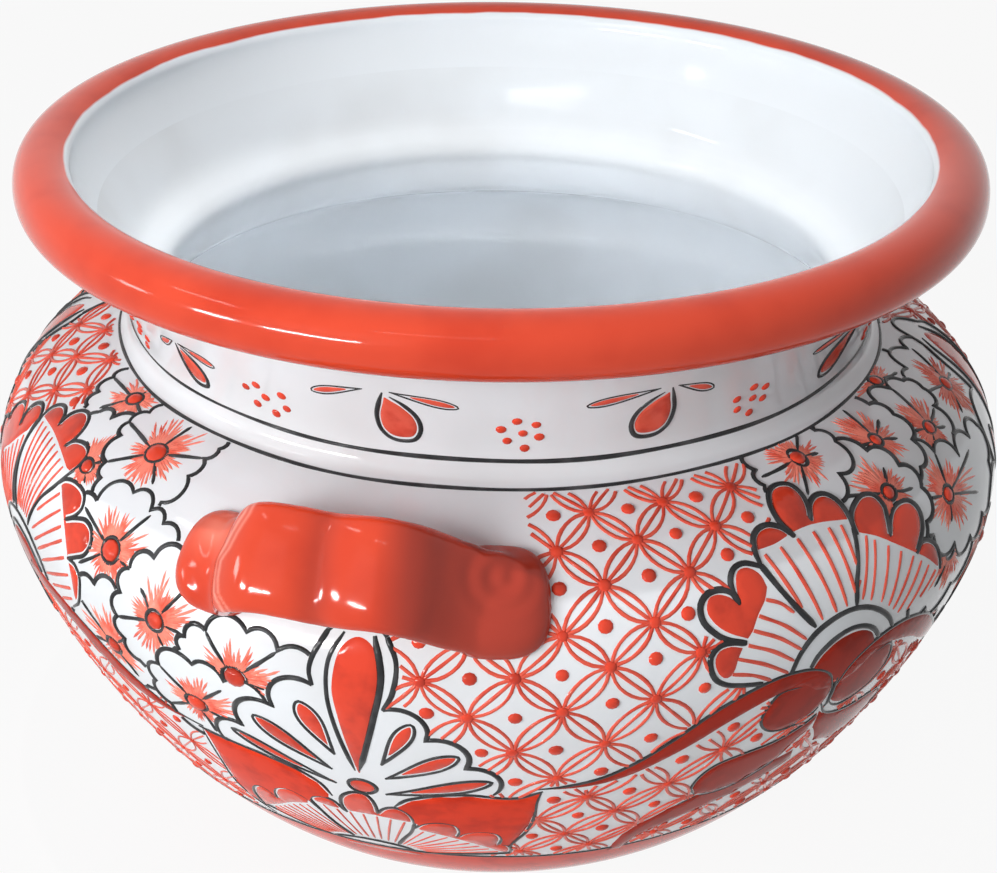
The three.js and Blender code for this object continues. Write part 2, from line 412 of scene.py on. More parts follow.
def floorSection(f):
    wallFoot = float(np.interp(f["top"], innerLine[:, 1], innerLine[:, 0]))
    section = [(f["drain"], f["under"]), (wallFoot - f["edgeIn"], f["under"])]
    for i in range(8):  # a hollow curve up into the wall
        a = math.radians(90 * i / 7)
        r = wallFoot - 1 + 5 * (1 - math.sin(a)) ** 2 + 3.4
        z = f["top"] + f["edgeRound"] * (1 - math.sin(a)) - 1
        section.append((r - f["edgeRound"] * (1 - math.cos(a)), z))
    for i in range(6):
        a = math.radians(90 * i / 5)
        k = f["drainRound"]
        section.append((f["drain"] + k - k * math.sin(a), f["top"] - k + k * math.cos(a)))
    return section


potFloor = turn("potFloor", floorSection(floorForm), 144, whiteGlaze)
finished(potFloor, "white_glaze", "floor_disc")

footForm = {"outer": 120, "width": 12, "round": 1.4}


def footSection(f):
    inner, outerTop = f["outer"] - f["width"], float(np.interp(foot, outer[:, 1], outer[:, 0]))
    k = f["round"]
    underneath = [(inner, k), (inner + k, 0), (f["outer"] - k, 0), (f["outer"] + 0.7, k)]
    return [*underneath, (outerTop, foot), (inner, foot)]


footRing = turn("footRing", footSection(footForm), 144, bareClay)
finished(footRing, "bare_clay", "foot_ring")
print("floor and foot turned")


# Handles: a strap with two lobes, luted over two pads that are pressed on the shoulder
handleForm = {
    "height": 186.5,
    "seatRadius": 209,
    "route": [  # (across, out from the wall, up)
        (-54, 1, 2), (-45, 4, 3), (-41, 9, 4), (-37, 16.5, 5.5), (-28, 22.5, 7.5), (-17, 22, 8.2),
        (-6, 18, 8.2), (4, 21.5, 8.2), (14, 23.5, 8.2), (23, 20.5, 7.5), (30.5, 13.5, 6.2),
        (37.5, 8, 4.6), (46, 4, 3), (55, 2, 2),
    ],
    "endTall": 35,
    "tall": 39.8,
    "endThick": 8,
    "thick": 13.5,
    "lean": 28,
    "slant": 4.5,  # the left end's edge leans, its top to the right
    "bulge": 5,  # and swells to the left between its corners
    "pads": [
        {"at": (-53.5, 3), "size": (37, 38), "rise": 7.5, "sink": 4},
        {"at": (52, 3.5), "size": (40, 41), "rise": 8.5, "sink": 4},
    ],
    "padCorner": 2.8,
    "padFlat": 3.2,
    "swirl": {"at": (54, 11), "ring": 8, "reach": 15, "deep": 0.35},
    "pinch": {"at": (-58, -2), "size": (6, 14), "top": 0.6},
    "ripple": (0.2, 0.33),  # radians to a mm across and up, over the pinch
    "thinRuns": [(0, 1.1, 1), (3.2, 0.8, 0.7)],  # (past the edge, half width, share)
    "thinMost": 0.8,
    "thinFrom": 11,  # mm out from the wall, and over 4 mm more
    "thinPad": {"at": (-57, 13), "size": (8, 8), "top": 0.5},
    # painted shade on the handle: darker from 13 mm right of its middle over the next 11 mm, and in the
    # valley between the lobes
    "handleShade": {"from": 13, "over": 11, "share": 0.9, "valleyWide": 5, "valleyShare": 0.6},
    "thinEdge": [  # (up, across)
        (-17, -36), (-12, -38.6), (-8, -43), (-3, -44.5), (3, -45), (7.5, -42), (13.6, -39.8), (21, -36.5),
    ],
    "valley": -6,
    "voxel": 1.1,
}
seatAlong = alongAtHeight(handleForm["height"])


# A place near the handle: round the wall, out from it and up along it, in mm
def handlePoint(across, out, up):
    r, z, nr, nz = wallAt(seatAlong)
    radius = r + out * nr - up * nz
    turn = across / handleForm["seatRadius"]
    return Vector((radius * math.sin(turn), -radius * math.cos(turn), z + out * nz + up * nr)) * mm


def strapSkin(h):
    route = smoothPath(np.array([tuple(handlePoint(*p)) for p in h["route"]]), 0.0022)
    count, sides = len(route), 28
    lean = math.radians(h["lean"])
    verts = []
    for i, middle in enumerate(route):
        along = Vector(route[min(i + 1, count - 1)] - route[max(i - 1, 0)]).normalized()
        outward = Vector((middle[0], middle[1], 0)).normalized()
        tall = -math.sin(lean) * outward + math.cos(lean) * Vector((0, 0, 1))
        tall = (tall - tall.dot(along) * along).normalized()
        thick = along.cross(tall)
        full = math.sin(math.pi * i / (count - 1)) ** 0.5
        halfTall = (h["endTall"] + (h["tall"] - h["endTall"]) * full) / 2 * mm
        halfThick = (h["endThick"] + (h["thick"] - h["endThick"]) * full) / 2 * mm
        nearLeft = mm * max(0, 1 - 3 * i / count)
        for j in range(sides):
            a = 2 * math.pi * j / sides
            c, s = math.cos(a), math.sin(a)
            c, s = (math.copysign(abs(v) ** 0.75, v) for v in (c, s))
            shift = nearLeft * (h["slant"] * c - h["bulge"] * (1 - abs(c)))
            verts.append(Vector(middle) + tall * halfTall * c + thick * halfThick * s + Vector((shift, 0, 0)))
    faces = []
    for i in range(count - 1):
        for j in range(sides):
            k = (j + 1) % sides
            faces.append((i * sides + k, i * sides + j, (i + 1) * sides + j, (i + 1) * sides + k))
    faces.append(tuple(range(sides)))
    faces.append(tuple((count - 1) * sides + j for j in reversed(range(sides))))
    return meshObject("strap", verts, [], faces)


# An even run of points on a smooth curve through the given ones
def smoothPath(points, step, closed=False):
    p = np.asarray(points, float)
    if closed:
        p = np.vstack([p[-1:], p, p[:2]])
    gap = np.maximum(np.sqrt(np.sqrt(((p[1:] - p[:-1]) ** 2).sum(1))), 1e-6)
    t = np.r_[0, np.cumsum(gap)]
    slope = np.empty_like(p)
    chord = (p[1:] - p[:-1]) / gap[:, None]
    weight = gap[1:, None] / (gap[1:, None] + gap[:-1, None])
    slope[1:-1] = chord[:-1] * weight + chord[1:] * (1 - weight)
    slope[0], slope[-1] = chord[0], chord[-1]
    runs = []
    u = np.linspace(0, 1, 17)[:-1, None]
    first, last = (1, len(p) - 2) if closed else (0, len(p) - 1)
    for i in range(first, last):
        d = gap[i]
        runs.append(
            (2 * u**3 - 3 * u**2 + 1) * p[i]
            + (u**3 - 2 * u**2 + u) * d * slope[i]
            + (3 * u**2 - 2 * u**3) * p[i + 1]
            + (u**3 - u**2) * d * slope[i + 1]
        )
    fine = np.vstack(runs + [p[last : last + 1]])
    reach = np.r_[0, np.cumsum(np.sqrt(((fine[1:] - fine[:-1]) ** 2).sum(1)))]
    count = max(int(round(reach[-1] / step)), 2) + 1
    at = np.linspace(0, reach[-1], count)
    out = np.stack([np.interp(at, reach, c) for c in fine.T], -1)
    return out[:-1] if closed else out


# A pad follows the wall: flat-topped, with rounded corners
def padSkin(pad):
    bpy.ops.mesh.primitive_uv_sphere_add(segments=48, ring_count=24, radius=1)
    ob = bpy.context.object
    for v in ob.data.vertices:
        x, y, z = v.co
        flat, angle = math.hypot(x, y), math.atan2(y, x)
        k = handleForm["padCorner"]
        corner = (abs(math.cos(angle)) ** k + abs(math.sin(angle)) ** k) ** (-1 / k)
        dome = math.sqrt(max(0, 1 - flat ** handleForm["padFlat"]))
        high = dome * (pad["rise"] if z > 0 else -pad["sink"])
        across = pad["at"][0] + flat * corner * math.cos(angle) * pad["size"][0] / 2
        along = seatAlong + pad["at"][1] + flat * corner * math.sin(angle) * pad["size"][1] / 2
        v.co = Vector(onWall(math.degrees(across / handleForm["seatRadius"]), along, high))
    return ob


def hump(x, y, at, size, top):
    return top * math.exp(-(((x - at[0]) / size[0]) ** 2) - ((y - at[1]) / size[1]) ** 2)


# A thumb's ring marks on one pad, a pinch on the other. The glaze is thin along the strap's left end
# and at that pad's top. Painted shade darkens the red between the lobes and towards the right end.
def workClay(ob, h):
    swirl, shadeForm = h["swirl"], h["handleShade"]
    edgeUp, edgeAcross = zip(*h["thinEdge"])
    thin = ob.data.attributes.new("thinGlaze", "FLOAT", "POINT")
    handleShade = ob.data.attributes.new("paintedShade", "FLOAT", "POINT")
    r0, z0, nr, nz = (float(v) for v in wallAt(seatAlong))
    normals = [v.normal.copy() for v in ob.data.vertices]
    for v, normal in zip(ob.data.vertices, normals):
        across = math.atan2(v.co.x, -v.co.y) * h["seatRadius"]
        dr, dz = math.hypot(v.co.x, v.co.y) / mm - r0, v.co.z / mm - z0
        out, up = dr * nr + dz * nz, dz * nr - dr * nz
        d = math.hypot(across - swirl["at"][0], up - swirl["at"][1])
        fade = math.exp(-((d / swirl["reach"]) ** 4))
        mark = swirl["deep"] * math.cos(2 * math.pi * d / swirl["ring"]) * fade
        pinch = hump(across, up, **h["pinch"]) * math.sin(up * h["ripple"][1] + across * h["ripple"][0])
        v.co += normal * (mark + pinch) * mm
        near = across - float(np.interp(up, edgeUp, edgeAcross))
        runs = sum(share * math.exp(-(((near - past) / wide) ** 2)) for past, wide, share in h["thinRuns"])
        clear = min(1, max(0, (out - h["thinFrom"]) / 4))
        padTop = hump(across, up, **h["thinPad"])
        thin.data[v.index].value = max(h["thinMost"] * min(1, runs) * clear, padTop)
        # painted shade: darker in the crease between the lobes and over the strap's right end
        valley = shadeForm["valleyShare"] * math.exp(-(((across - h["valley"]) / shadeForm["valleyWide"]) ** 2))
        onRight = shadeForm["share"] * min(1, max(0, (across - shadeForm["from"]) / shadeForm["over"]))
        handleShade.data[v.index].value = max(valley, onRight)


def luteHandle(name, h):
    skins = [strapSkin(h)] + [padSkin(pad) for pad in h["pads"]]
    for skin in skins:
        editing(skin, (bpy.ops.mesh.normals_make_consistent, {"inside": False}))
    onlySelect(*skins)
    bpy.ops.object.join()
    handle = bpy.context.object
    handle.name = name
    remesh = handle.modifiers.new("oneClay", "REMESH")
    remesh.mode = "VOXEL"
    remesh.voxel_size = h["voxel"] * mm
    bpy.ops.object.modifier_apply(modifier=remesh.name)
    soften = handle.modifiers.new("wetFinger", "SMOOTH")
    soften.factor = 0.5
    soften.iterations = 8
    bpy.ops.object.modifier_apply(modifier=soften.name)
    workClay(handle, h)
    handle.data.materials.clear()
    handle.data.materials.append(handleGlaze)
    bpy.ops.object.shade_smooth()
    return handle


# Red glaze that turns paler where it runs thin, and darker with painted shade between the lobes and on the
# right
def thinGlazeAndShade():
    m, tree, shader, colour = glazeMaterial("handleGlaze", "red")
    for name, key in (("paintedShade", "paintedShadeRed"), ("thinGlaze", "thinRed")):
        share = addNode(tree, "ShaderNodeAttribute", attribute_name=name)["Fac"]
        colour = blended(tree, share, colour, (*glazes[key], 1))
    plug(tree, shader, {"Base Color": colour})
    return m


handleGlaze = thinGlazeAndShade()
front = luteHandle("frontHandle", handleForm)
back = halfTurned(front, "backHandle")
for end, handle in (("front", front), ("back", back)):
    nodes = [f"{end}_handle_{part}" for part in ("strap", "left_pad", "right_pad")]
    finished(handle, "orange_red_glaze", *nodes)
print("handles luted")


# Painting on the wall. A place is (degrees round from the front handle, mm up along the wall).
# Motifs are painted from the front one back, and each covers what comes after it.
acrossMm = math.radians(1) * 210  # mm of wall to a degree, for the shape of curves
covered, painted, filled, beads = [], {}, {}, {}


def toMap(points):
    p = np.array([q[:2] for q in points], float)
    p[:, 0] *= acrossMm
    return p


def toPlace(flat):
    return np.stack([flat[:, 0] / acrossMm, flat[:, 1]], -1)


plainSwell = 0.34


# Rounded lobes from cusp to cusp. A cusp's third number is how far its lobe swells, as a share of its chord.
def lobes(cusps, about, step=1.6):
    mid = toMap([about])[0]
    flat = toMap(cusps)
    run = [flat[:1]]
    for i in range(len(cusps) - 1):
        a, b = flat[i], flat[i + 1]
        swell = cusps[i][2] if len(cusps[i]) > 2 else plainSwell
        chord = float(np.hypot(*(b - a)))
        aside = np.array([(b - a)[1], -(b - a)[0]]) / chord
        if np.dot((a + b) / 2 - mid, aside) < 0:
            aside = -aside
        rise = swell * chord
        radius = (chord * chord / 4 + rise * rise) / (2 * rise)
        centre = (a + b) / 2 + aside * (rise - radius)
        va, vb = a - centre, b - centre
        start = math.atan2(va[1], va[0])
        sweep = math.atan2(vb[1], vb[0]) - start
        top = math.atan2(aside[1], aside[0]) - start
        sweep = sweep % (2 * math.pi)
        if top % (2 * math.pi) > sweep:
            sweep -= 2 * math.pi
        count = max(int(abs(sweep) * radius / step), 3)
        angle = start + sweep * np.linspace(0, 1, count + 1)[1:]
        run.append(centre + radius * np.stack([np.cos(angle), np.sin(angle)], -1))
    return toPlace(np.vstack(run))


def curveThrough(points, step=1.6, closed=False):
    return toPlace(smoothPath(toMap(points), step, closed))


def cover(outline):
    for whole in (-180, 0, 180):
        shape = np.asarray(outline, float) + (whole, 0)
        covered.append((shape, shape.min(0), shape.max(0)))


def within(places, shape):
    x, y = places[:, 0], places[:, 1]
    hit = np.zeros(len(x), bool)
    for (x0, y0), (x1, y1) in zip(shape, np.roll(shape, -1, axis=0)):
        crosses = (y0 > y) != (y1 > y)
        if crosses.any():
            hit ^= crosses & (x < (x1 - x0) * (y - y0) / (y1 - y0 + 1e-12) + x0)
    return hit


def hiddenAt(places):
    hidden = np.zeros(len(places), bool)
    for shape, low, high in covered:
        near = ((places >= low) & (places <= high)).all(1) & ~hidden
        if near.any():
            hidden[near] = within(places[near], shape)
    return hidden


# Brush strokes, each a run of places and a width in mm, thinner towards its ends
def stroke(kind, strokes, width, tips=(0.35, 0.35), step=1.6, shown=None):
    runs = []
    for points in strokes:
        line = curveThrough(points, step) if len(points) < 12 else np.asarray(points, float)
        t = np.linspace(0, 1, len(line))
        ends = np.minimum(1, tips[0] + t * 6) * np.minimum(1, tips[1] + (1 - t) * 6)
        hand = 1 + 0.09 * np.sin(t * chance.uniform(4, 12) + chance.uniform(0, 6))
        runs.append((line, width * ends * hand))
    if not runs:
        return
    every = np.vstack([r[0] for r in runs])
    keep = ~hiddenAt(every)
    if shown is not None:
        keep &= within(every, np.asarray(shown, float))
    at = 0
    for line, thick in runs:
        part = keep[at : at + len(line)]
        at += len(line)
        edge = np.flatnonzero(np.diff(np.r_[0, part.astype(int), 0]))
        for a, b in zip(edge[::2], edge[1::2]):
            if b - a >= 2:
                painted.setdefault(kind, []).append((line[a:b], thick[a:b]))


# The drawn strokes of one kind, as round brush lines bedded in the glaze
def layStrokes(name, kind, material, rise=0.62):
    data = bpy.data.curves.new(name, "CURVE")
    data.dimensions = "3D"
    data.bevel_depth = 0.5 * mm
    data.bevel_resolution = 1
    data.use_fill_caps = True
    for line, thick in painted.pop(kind):
        at = onWall(line[:, 0], line[:, 1], (rise - 1) * thick / 2)
        spline = data.splines.new("POLY")
        spline.points.add(len(at) - 1)
        spline.points.foreach_set("co", np.c_[at, np.ones(len(at))].ravel())
        spline.points.foreach_set("radius", thick)
    onlySelect(addObject(name, data))
    bpy.ops.object.convert(target="MESH")
    ob = bpy.context.object
    ob.data.materials.clear()
    ob.data.materials.append(material)
    return ob


# A filled shape: kept where nothing in front covers it
def fill(kind, outline, grid=4.5):
    edge = toMap(outline)
    edge = smoothPath(edge, 1.5, True) if len(edge) < 12 else edge
    low, high = edge.min(0), edge.max(0)
    cutters = []
    for shape, _, _ in covered:
        cut = toMap(shape)
        if (cut.min(0) < high).all() and (cut.max(0) > low).all():
            cutters.append(cut)
    verts, faces = list(map(Vector, edge)), [list(range(len(edge)))]
    for cut in cutters:
        faces.append(list(range(len(verts), len(verts) + len(cut))))
        verts += list(map(Vector, cut))
    across = np.arange(low[0], high[0], grid)
    up = np.arange(low[1], high[1], grid * 0.87)
    gridPoints = [(x + (grid / 2 if k % 2 else 0), y) for k, y in enumerate(up) for x in across]
    if gridPoints:
        gridPoints = np.array(gridPoints)
        gridPoints = gridPoints[within(gridPoints, edge)]
        ring = inset(edge, 0.8)
        ring = ring[within(ring, edge)]
        verts += [Vector(p) for p in np.vstack([gridPoints, ring])]
    points, _, tris, _, _, _ = delaunay_2d_cdt(verts, [], faces, 0, 1e-4)
    points, tris = np.array([tuple(p) for p in points]), np.array(tris)
    centres = points[tris].mean(1)
    tris = tris[within(centres, edge) & ~hiddenAt(toPlace(centres))]
    if len(tris):
        filled.setdefault(kind, []).append((points, tris, edge))


def inset(edge, by):
    ahead = np.roll(edge, -1, axis=0) - np.roll(edge, 1, axis=0)
    ahead /= np.hypot(*ahead.T)[:, None] + 1e-9
    aside = np.stack([-ahead[:, 1], ahead[:, 0]], -1)
    area = np.cross(edge, np.roll(edge, -1, axis=0)).sum()
    return edge + aside * by * (1 if area > 0 else -1)


def distanceTo(points, edge):
    best = np.full(len(points), 1e9)
    for a, b in zip(edge, np.roll(edge, -1, axis=0)):
        d = b - a
        t = np.clip(((points - a) @ d) / (d @ d + 1e-12), 0, 1)
        best = np.minimum(best, np.hypot(*(points - a - t[:, None] * d).T))
    return best


def layFills(name, kind, material, rise=0.45):
    verts, faces = [], []
    for points, tris, edge in filled.pop(kind):
        used, again = np.unique(tris, return_inverse=True)
        again = again.reshape(tris.shape)
        a, b, c = (points[tris[:, i]] for i in range(3))
        backward = (b - a)[:, 0] * (c - a)[:, 1] < (b - a)[:, 1] * (c - a)[:, 0]
        again[backward] = again[backward][:, ::-1]
        faces += (again + len(verts)).tolist()
        flat = points[used]
        lift = rise * np.minimum(1, distanceTo(flat, edge) / 0.8) - 0.06
        verts += list(onWall(*toPlace(flat).T, lift))
    return meshObject(name, verts, [], faces, material)


# Places moved a little where a dot would touch what lies in front, or left out
def settled(places, size, reaches=(0, 1.5, 3, 4.5)):
    turns = np.linspace(0, 2 * math.pi, 13)[:-1]
    ring = np.stack([np.cos(turns), np.sin(turns)], -1)
    out = []
    for flat in toMap(places):
        spots = [flat + reach * d for reach in reaches for d in (ring if reach else ring[:1])]
        free = [s for s in spots if not hiddenAt(toPlace(s + ring * (size + 1.6))).any()]
        if free:
            out.append(tuple(toPlace(np.array(free[:1]))[0]))
    return out


def bead(kind, places, size):
    places = list(places)
    hidden = hiddenAt(np.array([p[:2] for p in places], float))
    beads.setdefault(kind, []).extend((p, size) for p, h in zip(places, hidden) if not h)


# Raised dots: one low dome, copied to each place
def layBeads(name, kind, material, squash=0.45):
    bpy.ops.mesh.primitive_uv_sphere_add(segments=10, ring_count=6, radius=1)
    dome = bpy.context.object
    cut = {"plane_co": (0, 0, -0.3), "plane_no": (0, 0, 1), "clear_inner": True}
    editing(dome, (bpy.ops.mesh.bisect, cut))
    form = np.array([tuple(v.co) for v in dome.data.vertices])
    shell = [tuple(f.vertices) for f in dome.data.polygons]
    bpy.data.objects.remove(dome, do_unlink=True)
    verts, faces = [], []
    for (deg, along), size in beads.pop(kind):
        r, z, nr, nz = (float(v) for v in wallAt(along))
        t = math.radians(deg)
        at = np.array([r * math.sin(t), -r * math.cos(t), z])
        side = np.array([math.cos(t), math.sin(t), 0])
        out = np.array([nr * math.sin(t), -nr * math.cos(t), nz])
        up = np.cross(out, side)
        wide = size * chance.uniform(0.92, 1.08)
        high = size * squash
        faces += [tuple(i + len(verts) for i in f) for f in shell]
        verts += list((at + form @ np.stack([side * wide, up * wide * 0.95, out * high])) * mm)
    return meshObject(name, verts, [], faces, material)


neckLine, bandLine = 271.4, alongBand
body = [(-300, bandLine), (300, bandLine), (300, neckLine), (-300, neckLine)]


def atShares(points, shares):
    flat = toMap(points)
    reach = np.r_[0, np.cumsum(np.hypot(*np.diff(flat, axis=0).T))]
    at = np.asarray(shares) * reach[-1]
    return toPlace(np.stack([np.interp(at, reach, c) for c in flat.T], -1))


def runs(*lists):
    return np.vstack([curveThrough(r) for r in lists])


# One sector of a fan: lobed top edge, red down to the baseline, stripes on to the ring
def fanSector(kind, edge, baseline, ring, stripes, about, line=2.6, sides=(None, None), gap=1.3,
              brush=1.5, drawn=3):
    edge = edge if isinstance(edge, np.ndarray) else lobes(edge, about)
    top = curveThrough(baseline)
    foot = curveThrough(ring)
    left = curveThrough([edge[0], *(sides[0] or []), foot[0]])
    right = curveThrough([edge[-1], *(sides[1] or []), foot[-1]])
    whole = np.vstack([edge, right, foot[::-1], left[::-1]])
    red = np.vstack([edge, top[::-1]])
    stroke(kind, [edge], line, tips=(0.7, 0.7))
    stroke(kind, [side for k, side in enumerate((left, right)) if drawn >> k & 1], line, tips=(0.9, 0.55))
    fill("lobes", toPlace(inset(resampled(toMap(red), 1.5), gap)))
    if isinstance(stripes, int):
        shares = (np.arange(stripes) + 0.5) / stripes
        stripes = list(zip(atShares(top, shares), atShares(foot, shares * 0.94 + 0.03)))
    a, b = (np.array([s[k] for s in stripes], float) for k in (0, 1))
    lines = np.stack([a, (a + b) / 2, b * 0.94 + a * 0.06], 1)
    stroke("stripes", list(lines), brush, (0.8, 0.5), shown=whole)
    cover(whole)


def resampled(flat, step):
    loop = np.vstack([flat, flat[:1]])
    reach = np.r_[0, np.cumsum(np.hypot(*np.diff(loop, axis=0).T))]
    at = np.arange(0, reach[-1], step)
    return np.stack([np.interp(at, reach, c) for c in loop.T], -1)


def teardrop(tip, end, wide, grow, line=1.7, gap=1.1, kind="teardrops", lineKind="palmetteLines"):
    a, b = toMap([tip])[0], toMap([end])[0]
    ahead = (b - a) / np.hypot(*(b - a))
    aside = np.array([-ahead[1], ahead[0]])
    long = np.hypot(*(b - a)) + grow
    t = np.sin(np.linspace(0, math.pi / 2, 26))
    half = wide * np.maximum(np.sin(math.pi * t**1.9), 0) ** 0.6
    spine = a + ahead * (t * long)[:, None]
    shape = np.vstack([spine + aside * half[:, None], (spine - aside * half[:, None])[::-1][1:-1]])
    fill(kind, toPlace(inset(resampled(shape, 1.2), gap)), 3)
    loop = np.vstack([shape, shape[:2]])
    stroke(lineKind, [toPlace(smoothPath(loop, 1.4))], line, (0.8, 0.4))


def oval(centre, across, up, count=28):
    a = np.linspace(0, 2 * math.pi, count + 1)
    return np.stack([centre[0] + across * np.cos(a), centre[1] + up * np.sin(a)], -1)


leafFoot, roundSwell = 129.6, 0.36


# The tall palmette, its crescents and the small fan below it. Given for the front one, and
# stretched about the foot of its leaves for the side one.
def palmette(axis, wide, tall, top):
    def put(points):
        out = []
        for x, s, *more in points:
            rise = s - leafFoot
            out.append((axis + x * wide, leafFoot + (rise * tall if rise > 0 else rise), *more))
        return out

    def putRuns(*lists):
        return runs(*map(put, lists))

    # the small fan
    hub = put([(-0.5, 60)])[0]
    dome = put([(-7, 62), (-6.2, 64.5), (-4, 66.6), (-1.5, 67.6), (1, 67), (3.4, 65.2), (4.6, 62.5)])
    ring = [(-8.6, 65), (-7.9, 67.8), (-6, 71.2), (-2.7, 74), (0.5, 73.2), (2.8, 70), (3.8, 66)]
    fill("lobes", np.array(dome))
    cover(np.array(put([*ring, (3.8, 60), (-8.6, 60)])))
    stroke("charcoal", [put(ring)], 1.8)
    fanSector(
        "charcoal",
        putRuns(
            [(-7.9, 107), (-7.2, 110.8), (-5.8, 113), (-4.6, 111.5), (-3.9, 106), (-3.5, 103)],
            [(-3.5, 103), (-3.7, 108.5), (-3.4, 115.5), (-2.5, 120.5), (-1.2, 123.6), (-0.1, 123.2),
             (0.5, 119), (0.7, 112), (0.6, 107)],
            [(0.6, 107), (1.6, 112.5), (2.8, 115), (4.1, 112.8), (4.8, 106.8), (4.8, 101)],
        ),
        put([(-7.2, 105), (-5.3, 103.6), (-3.4, 103.2), (0, 103.6), (2.5, 102.4), (4.5, 101.6)]),
        put([(-4.6, 74.5), (-1.6, 75.4), (1.6, 74)]),
        7, hub, 1.9, (put([(-6.4, 88)]), put([(4.1, 92), (2.8, 83)])), brush=1.2,
    )
    fanSector(
        "charcoal",
        putRuns(
            [(4.7, 96.8), (6, 103), (8, 105.6), (9.7, 103.8), (10.2, 97), (9.8, 91.5)],
            [(9.8, 91.5), (10.8, 96), (12.8, 98.4), (14.5, 96.8), (15.2, 91), (14.9, 84)],
            [(14.9, 84), (15.8, 83.6), (16.5, 79), (16.4, 73)],
        ),
        put([(5, 95), (8.2, 90.5), (12, 82.5), (15.4, 73)]),
        put([(1.7, 73.6), (3.4, 71), (4.6, 67)]),
        8, hub, 1.7, (put([(4, 90), (2.9, 82)]), None), brush=1, drawn=2,
    )
    fanSector(
        "charcoal",
        putRuns(
            [(-18, 80), (-17.6, 92), (-16.4, 100.5), (-15, 103.6), (-14, 101), (-13.6, 95.6)],
            [(-13.6, 95.6), (-13.3, 102), (-12.3, 108), (-10.4, 111), (-8.9, 108.5), (-8, 104.6)],
        ),
        put([(-17.4, 77), (-13.9, 87), (-11.2, 95), (-8.4, 100.5)]),
        put([(-8.6, 67), (-7.2, 71), (-4.8, 74.2)]),
        8, hub, 1.7, brush=1,
    )

    # the palmette's leaves
    high = [(-1.9, top - 8), (-0.5, top - 1.5), (1, top), (2.6, top - 1.5), (3.9, top - 8)]
    left = [(-1.9, top - 8), (-3.3, 199), (-3.6, 193), (-3.3, 187.4)]
    right = [(3.9, top - 8), (4.9, 201), (4.6, 189), (3.6, 180.6)]
    leftLobes, rightLobes = (
        lobes([(*cusp, roundSwell) for cusp in put(cusps)], put([(0, 140)])[0])
        for cusps in (
            [(-3.3, 187.4), (-7.9, 172), (-12.5, 154.4), (-16.1, 139)],
            [(3.6, 180.6), (7.5, 166.4), (11.35, 150.6), (14.2, 132)],
        )
    )
    topCurve = curveThrough(put(high))
    leftSide, rightSide = curveThrough(put(left)), curveThrough(put(right))
    lower = put([(10, 131.4), (6.5, 127), (3.8, 120), (3, 116), (-4.4, 117), (-5.2, 125), (-7.1, 132.6),
                 (-10.9, 137.4)])
    stroke("palmetteLines", [topCurve, leftSide, rightSide], 2.5, (0.8, 0.8))
    stroke("palmetteLines", [leftLobes, rightLobes], 2.6, (0.7, 0.55))
    spindle = put([(1.2, top - 9), (-0.4, top - 13), (-1.35, 189), (-1.1, 175), (-0.4, 150), (0.0, 139),
                   (0.65, 149), (1.3, 159), (2.25, 175), (3.15, 191), (2.8, top - 13)])
    fill("lobes", toPlace(smoothPath(toMap(spindle), 1.5, True)))
    for width, line in (
        (2.3, [(-0.3, top - 8), (-1.6, 200), (-1.9, 185), (-1.5, 168), (-0.4, 141)]),
        (3.2, [(2.7, top - 8), (3.5, 195), (2.6, 176), (1.2, 156), (0.0, 141)]),
    ):
        stroke("palmetteLines", [put(line)], width, (0.5, 0.3))
    for tip, end, size in (
        ((-2.2, 150.2), (-5, 178), 1.3),
        ((-3, 139), (-10.7, 163), 1.25),
        ((-3.1, 128.5), (-14.2, 149), 0.78),
        ((2.7, 148), (6.3, 174.6), 0.96),
        ((2.8, 138.2), (10.7, 157.6), 1.1),
        ((2.4, 125.8), (14, 141.2), 1.05),
    ):
        a, b = put([tip, end])
        teardrop(a, b, size * wide * acrossMm, 0)
    hubOval = put(oval((-0.1, leafFoot), 1.6, 5.2))
    fill("lobes", inset(np.array(hubOval)[:-1] * (acrossMm, 1), 0.8) / (acrossMm, 1), 3)
    stroke("palmetteLines", [hubOval], 2.0, (1, 1))

    # crescents, with the lines round them
    for line in (
        [(-19.6, 140), (-15.7, 138.6), (-10.9, 136.4), (-7.4, 132), (-5.2, 125), (-4.4, 116)],
        [(3, 116), (4.7, 123.4), (8.2, 129.4), (11.5, 131.4), (16.4, 129.4), (19.4, 134)],
    ):
        stroke("palmetteLines", [put(line)], 2.0, (0.5, 0.5))
    for width, line in (
        (1.7, [(19.3, 134), (18.9, 126), (18.8, 112), (18.1, 98), (16.9, 88), (15.6, 76)]),
        (1.2, [(-19.2, 139), (-19.5, 114), (-20, 99), (-19.4, 84), (-17.3, 70)]),
    ):
        stroke("charcoal", [put(line)], width)
    cover(np.vstack([topCurve, rightSide, rightLobes, lower, leftLobes[::-1], leftSide[::-1]]))
    leftCrescent = put([
        (-19, 139.2), (-15, 137.8), (-11, 135.8), (-7.7, 131.4), (-5.6, 124.6), (-4.8, 116.4),
        (-5.2, 110), (-8, 104), (-10, 96), (-13, 85), (-16.5, 78), (-19.6, 84), (-19.8, 97), (-19.3, 112),
        (-19, 125),
    ])
    rightCrescent = put([
        (3.3, 115.6), (5, 122.6), (8.3, 128.6), (11.5, 130.7), (16.3, 128.4), (19.2, 133), (18.9, 118),
        (18.3, 104), (17, 90), (15.7, 76), (12, 76), (9, 86), (6, 96), (4.4, 105),
    ])
    for shape in (leftCrescent, rightCrescent):
        shape = np.array(shape)
        fill("crescents", shape)
        cover(toPlace(smoothPath(toMap(shape), 1.6, True)))


palmette(0, 1, 1, 218)
palmette(99.5, 1.3, 1.65, 212)


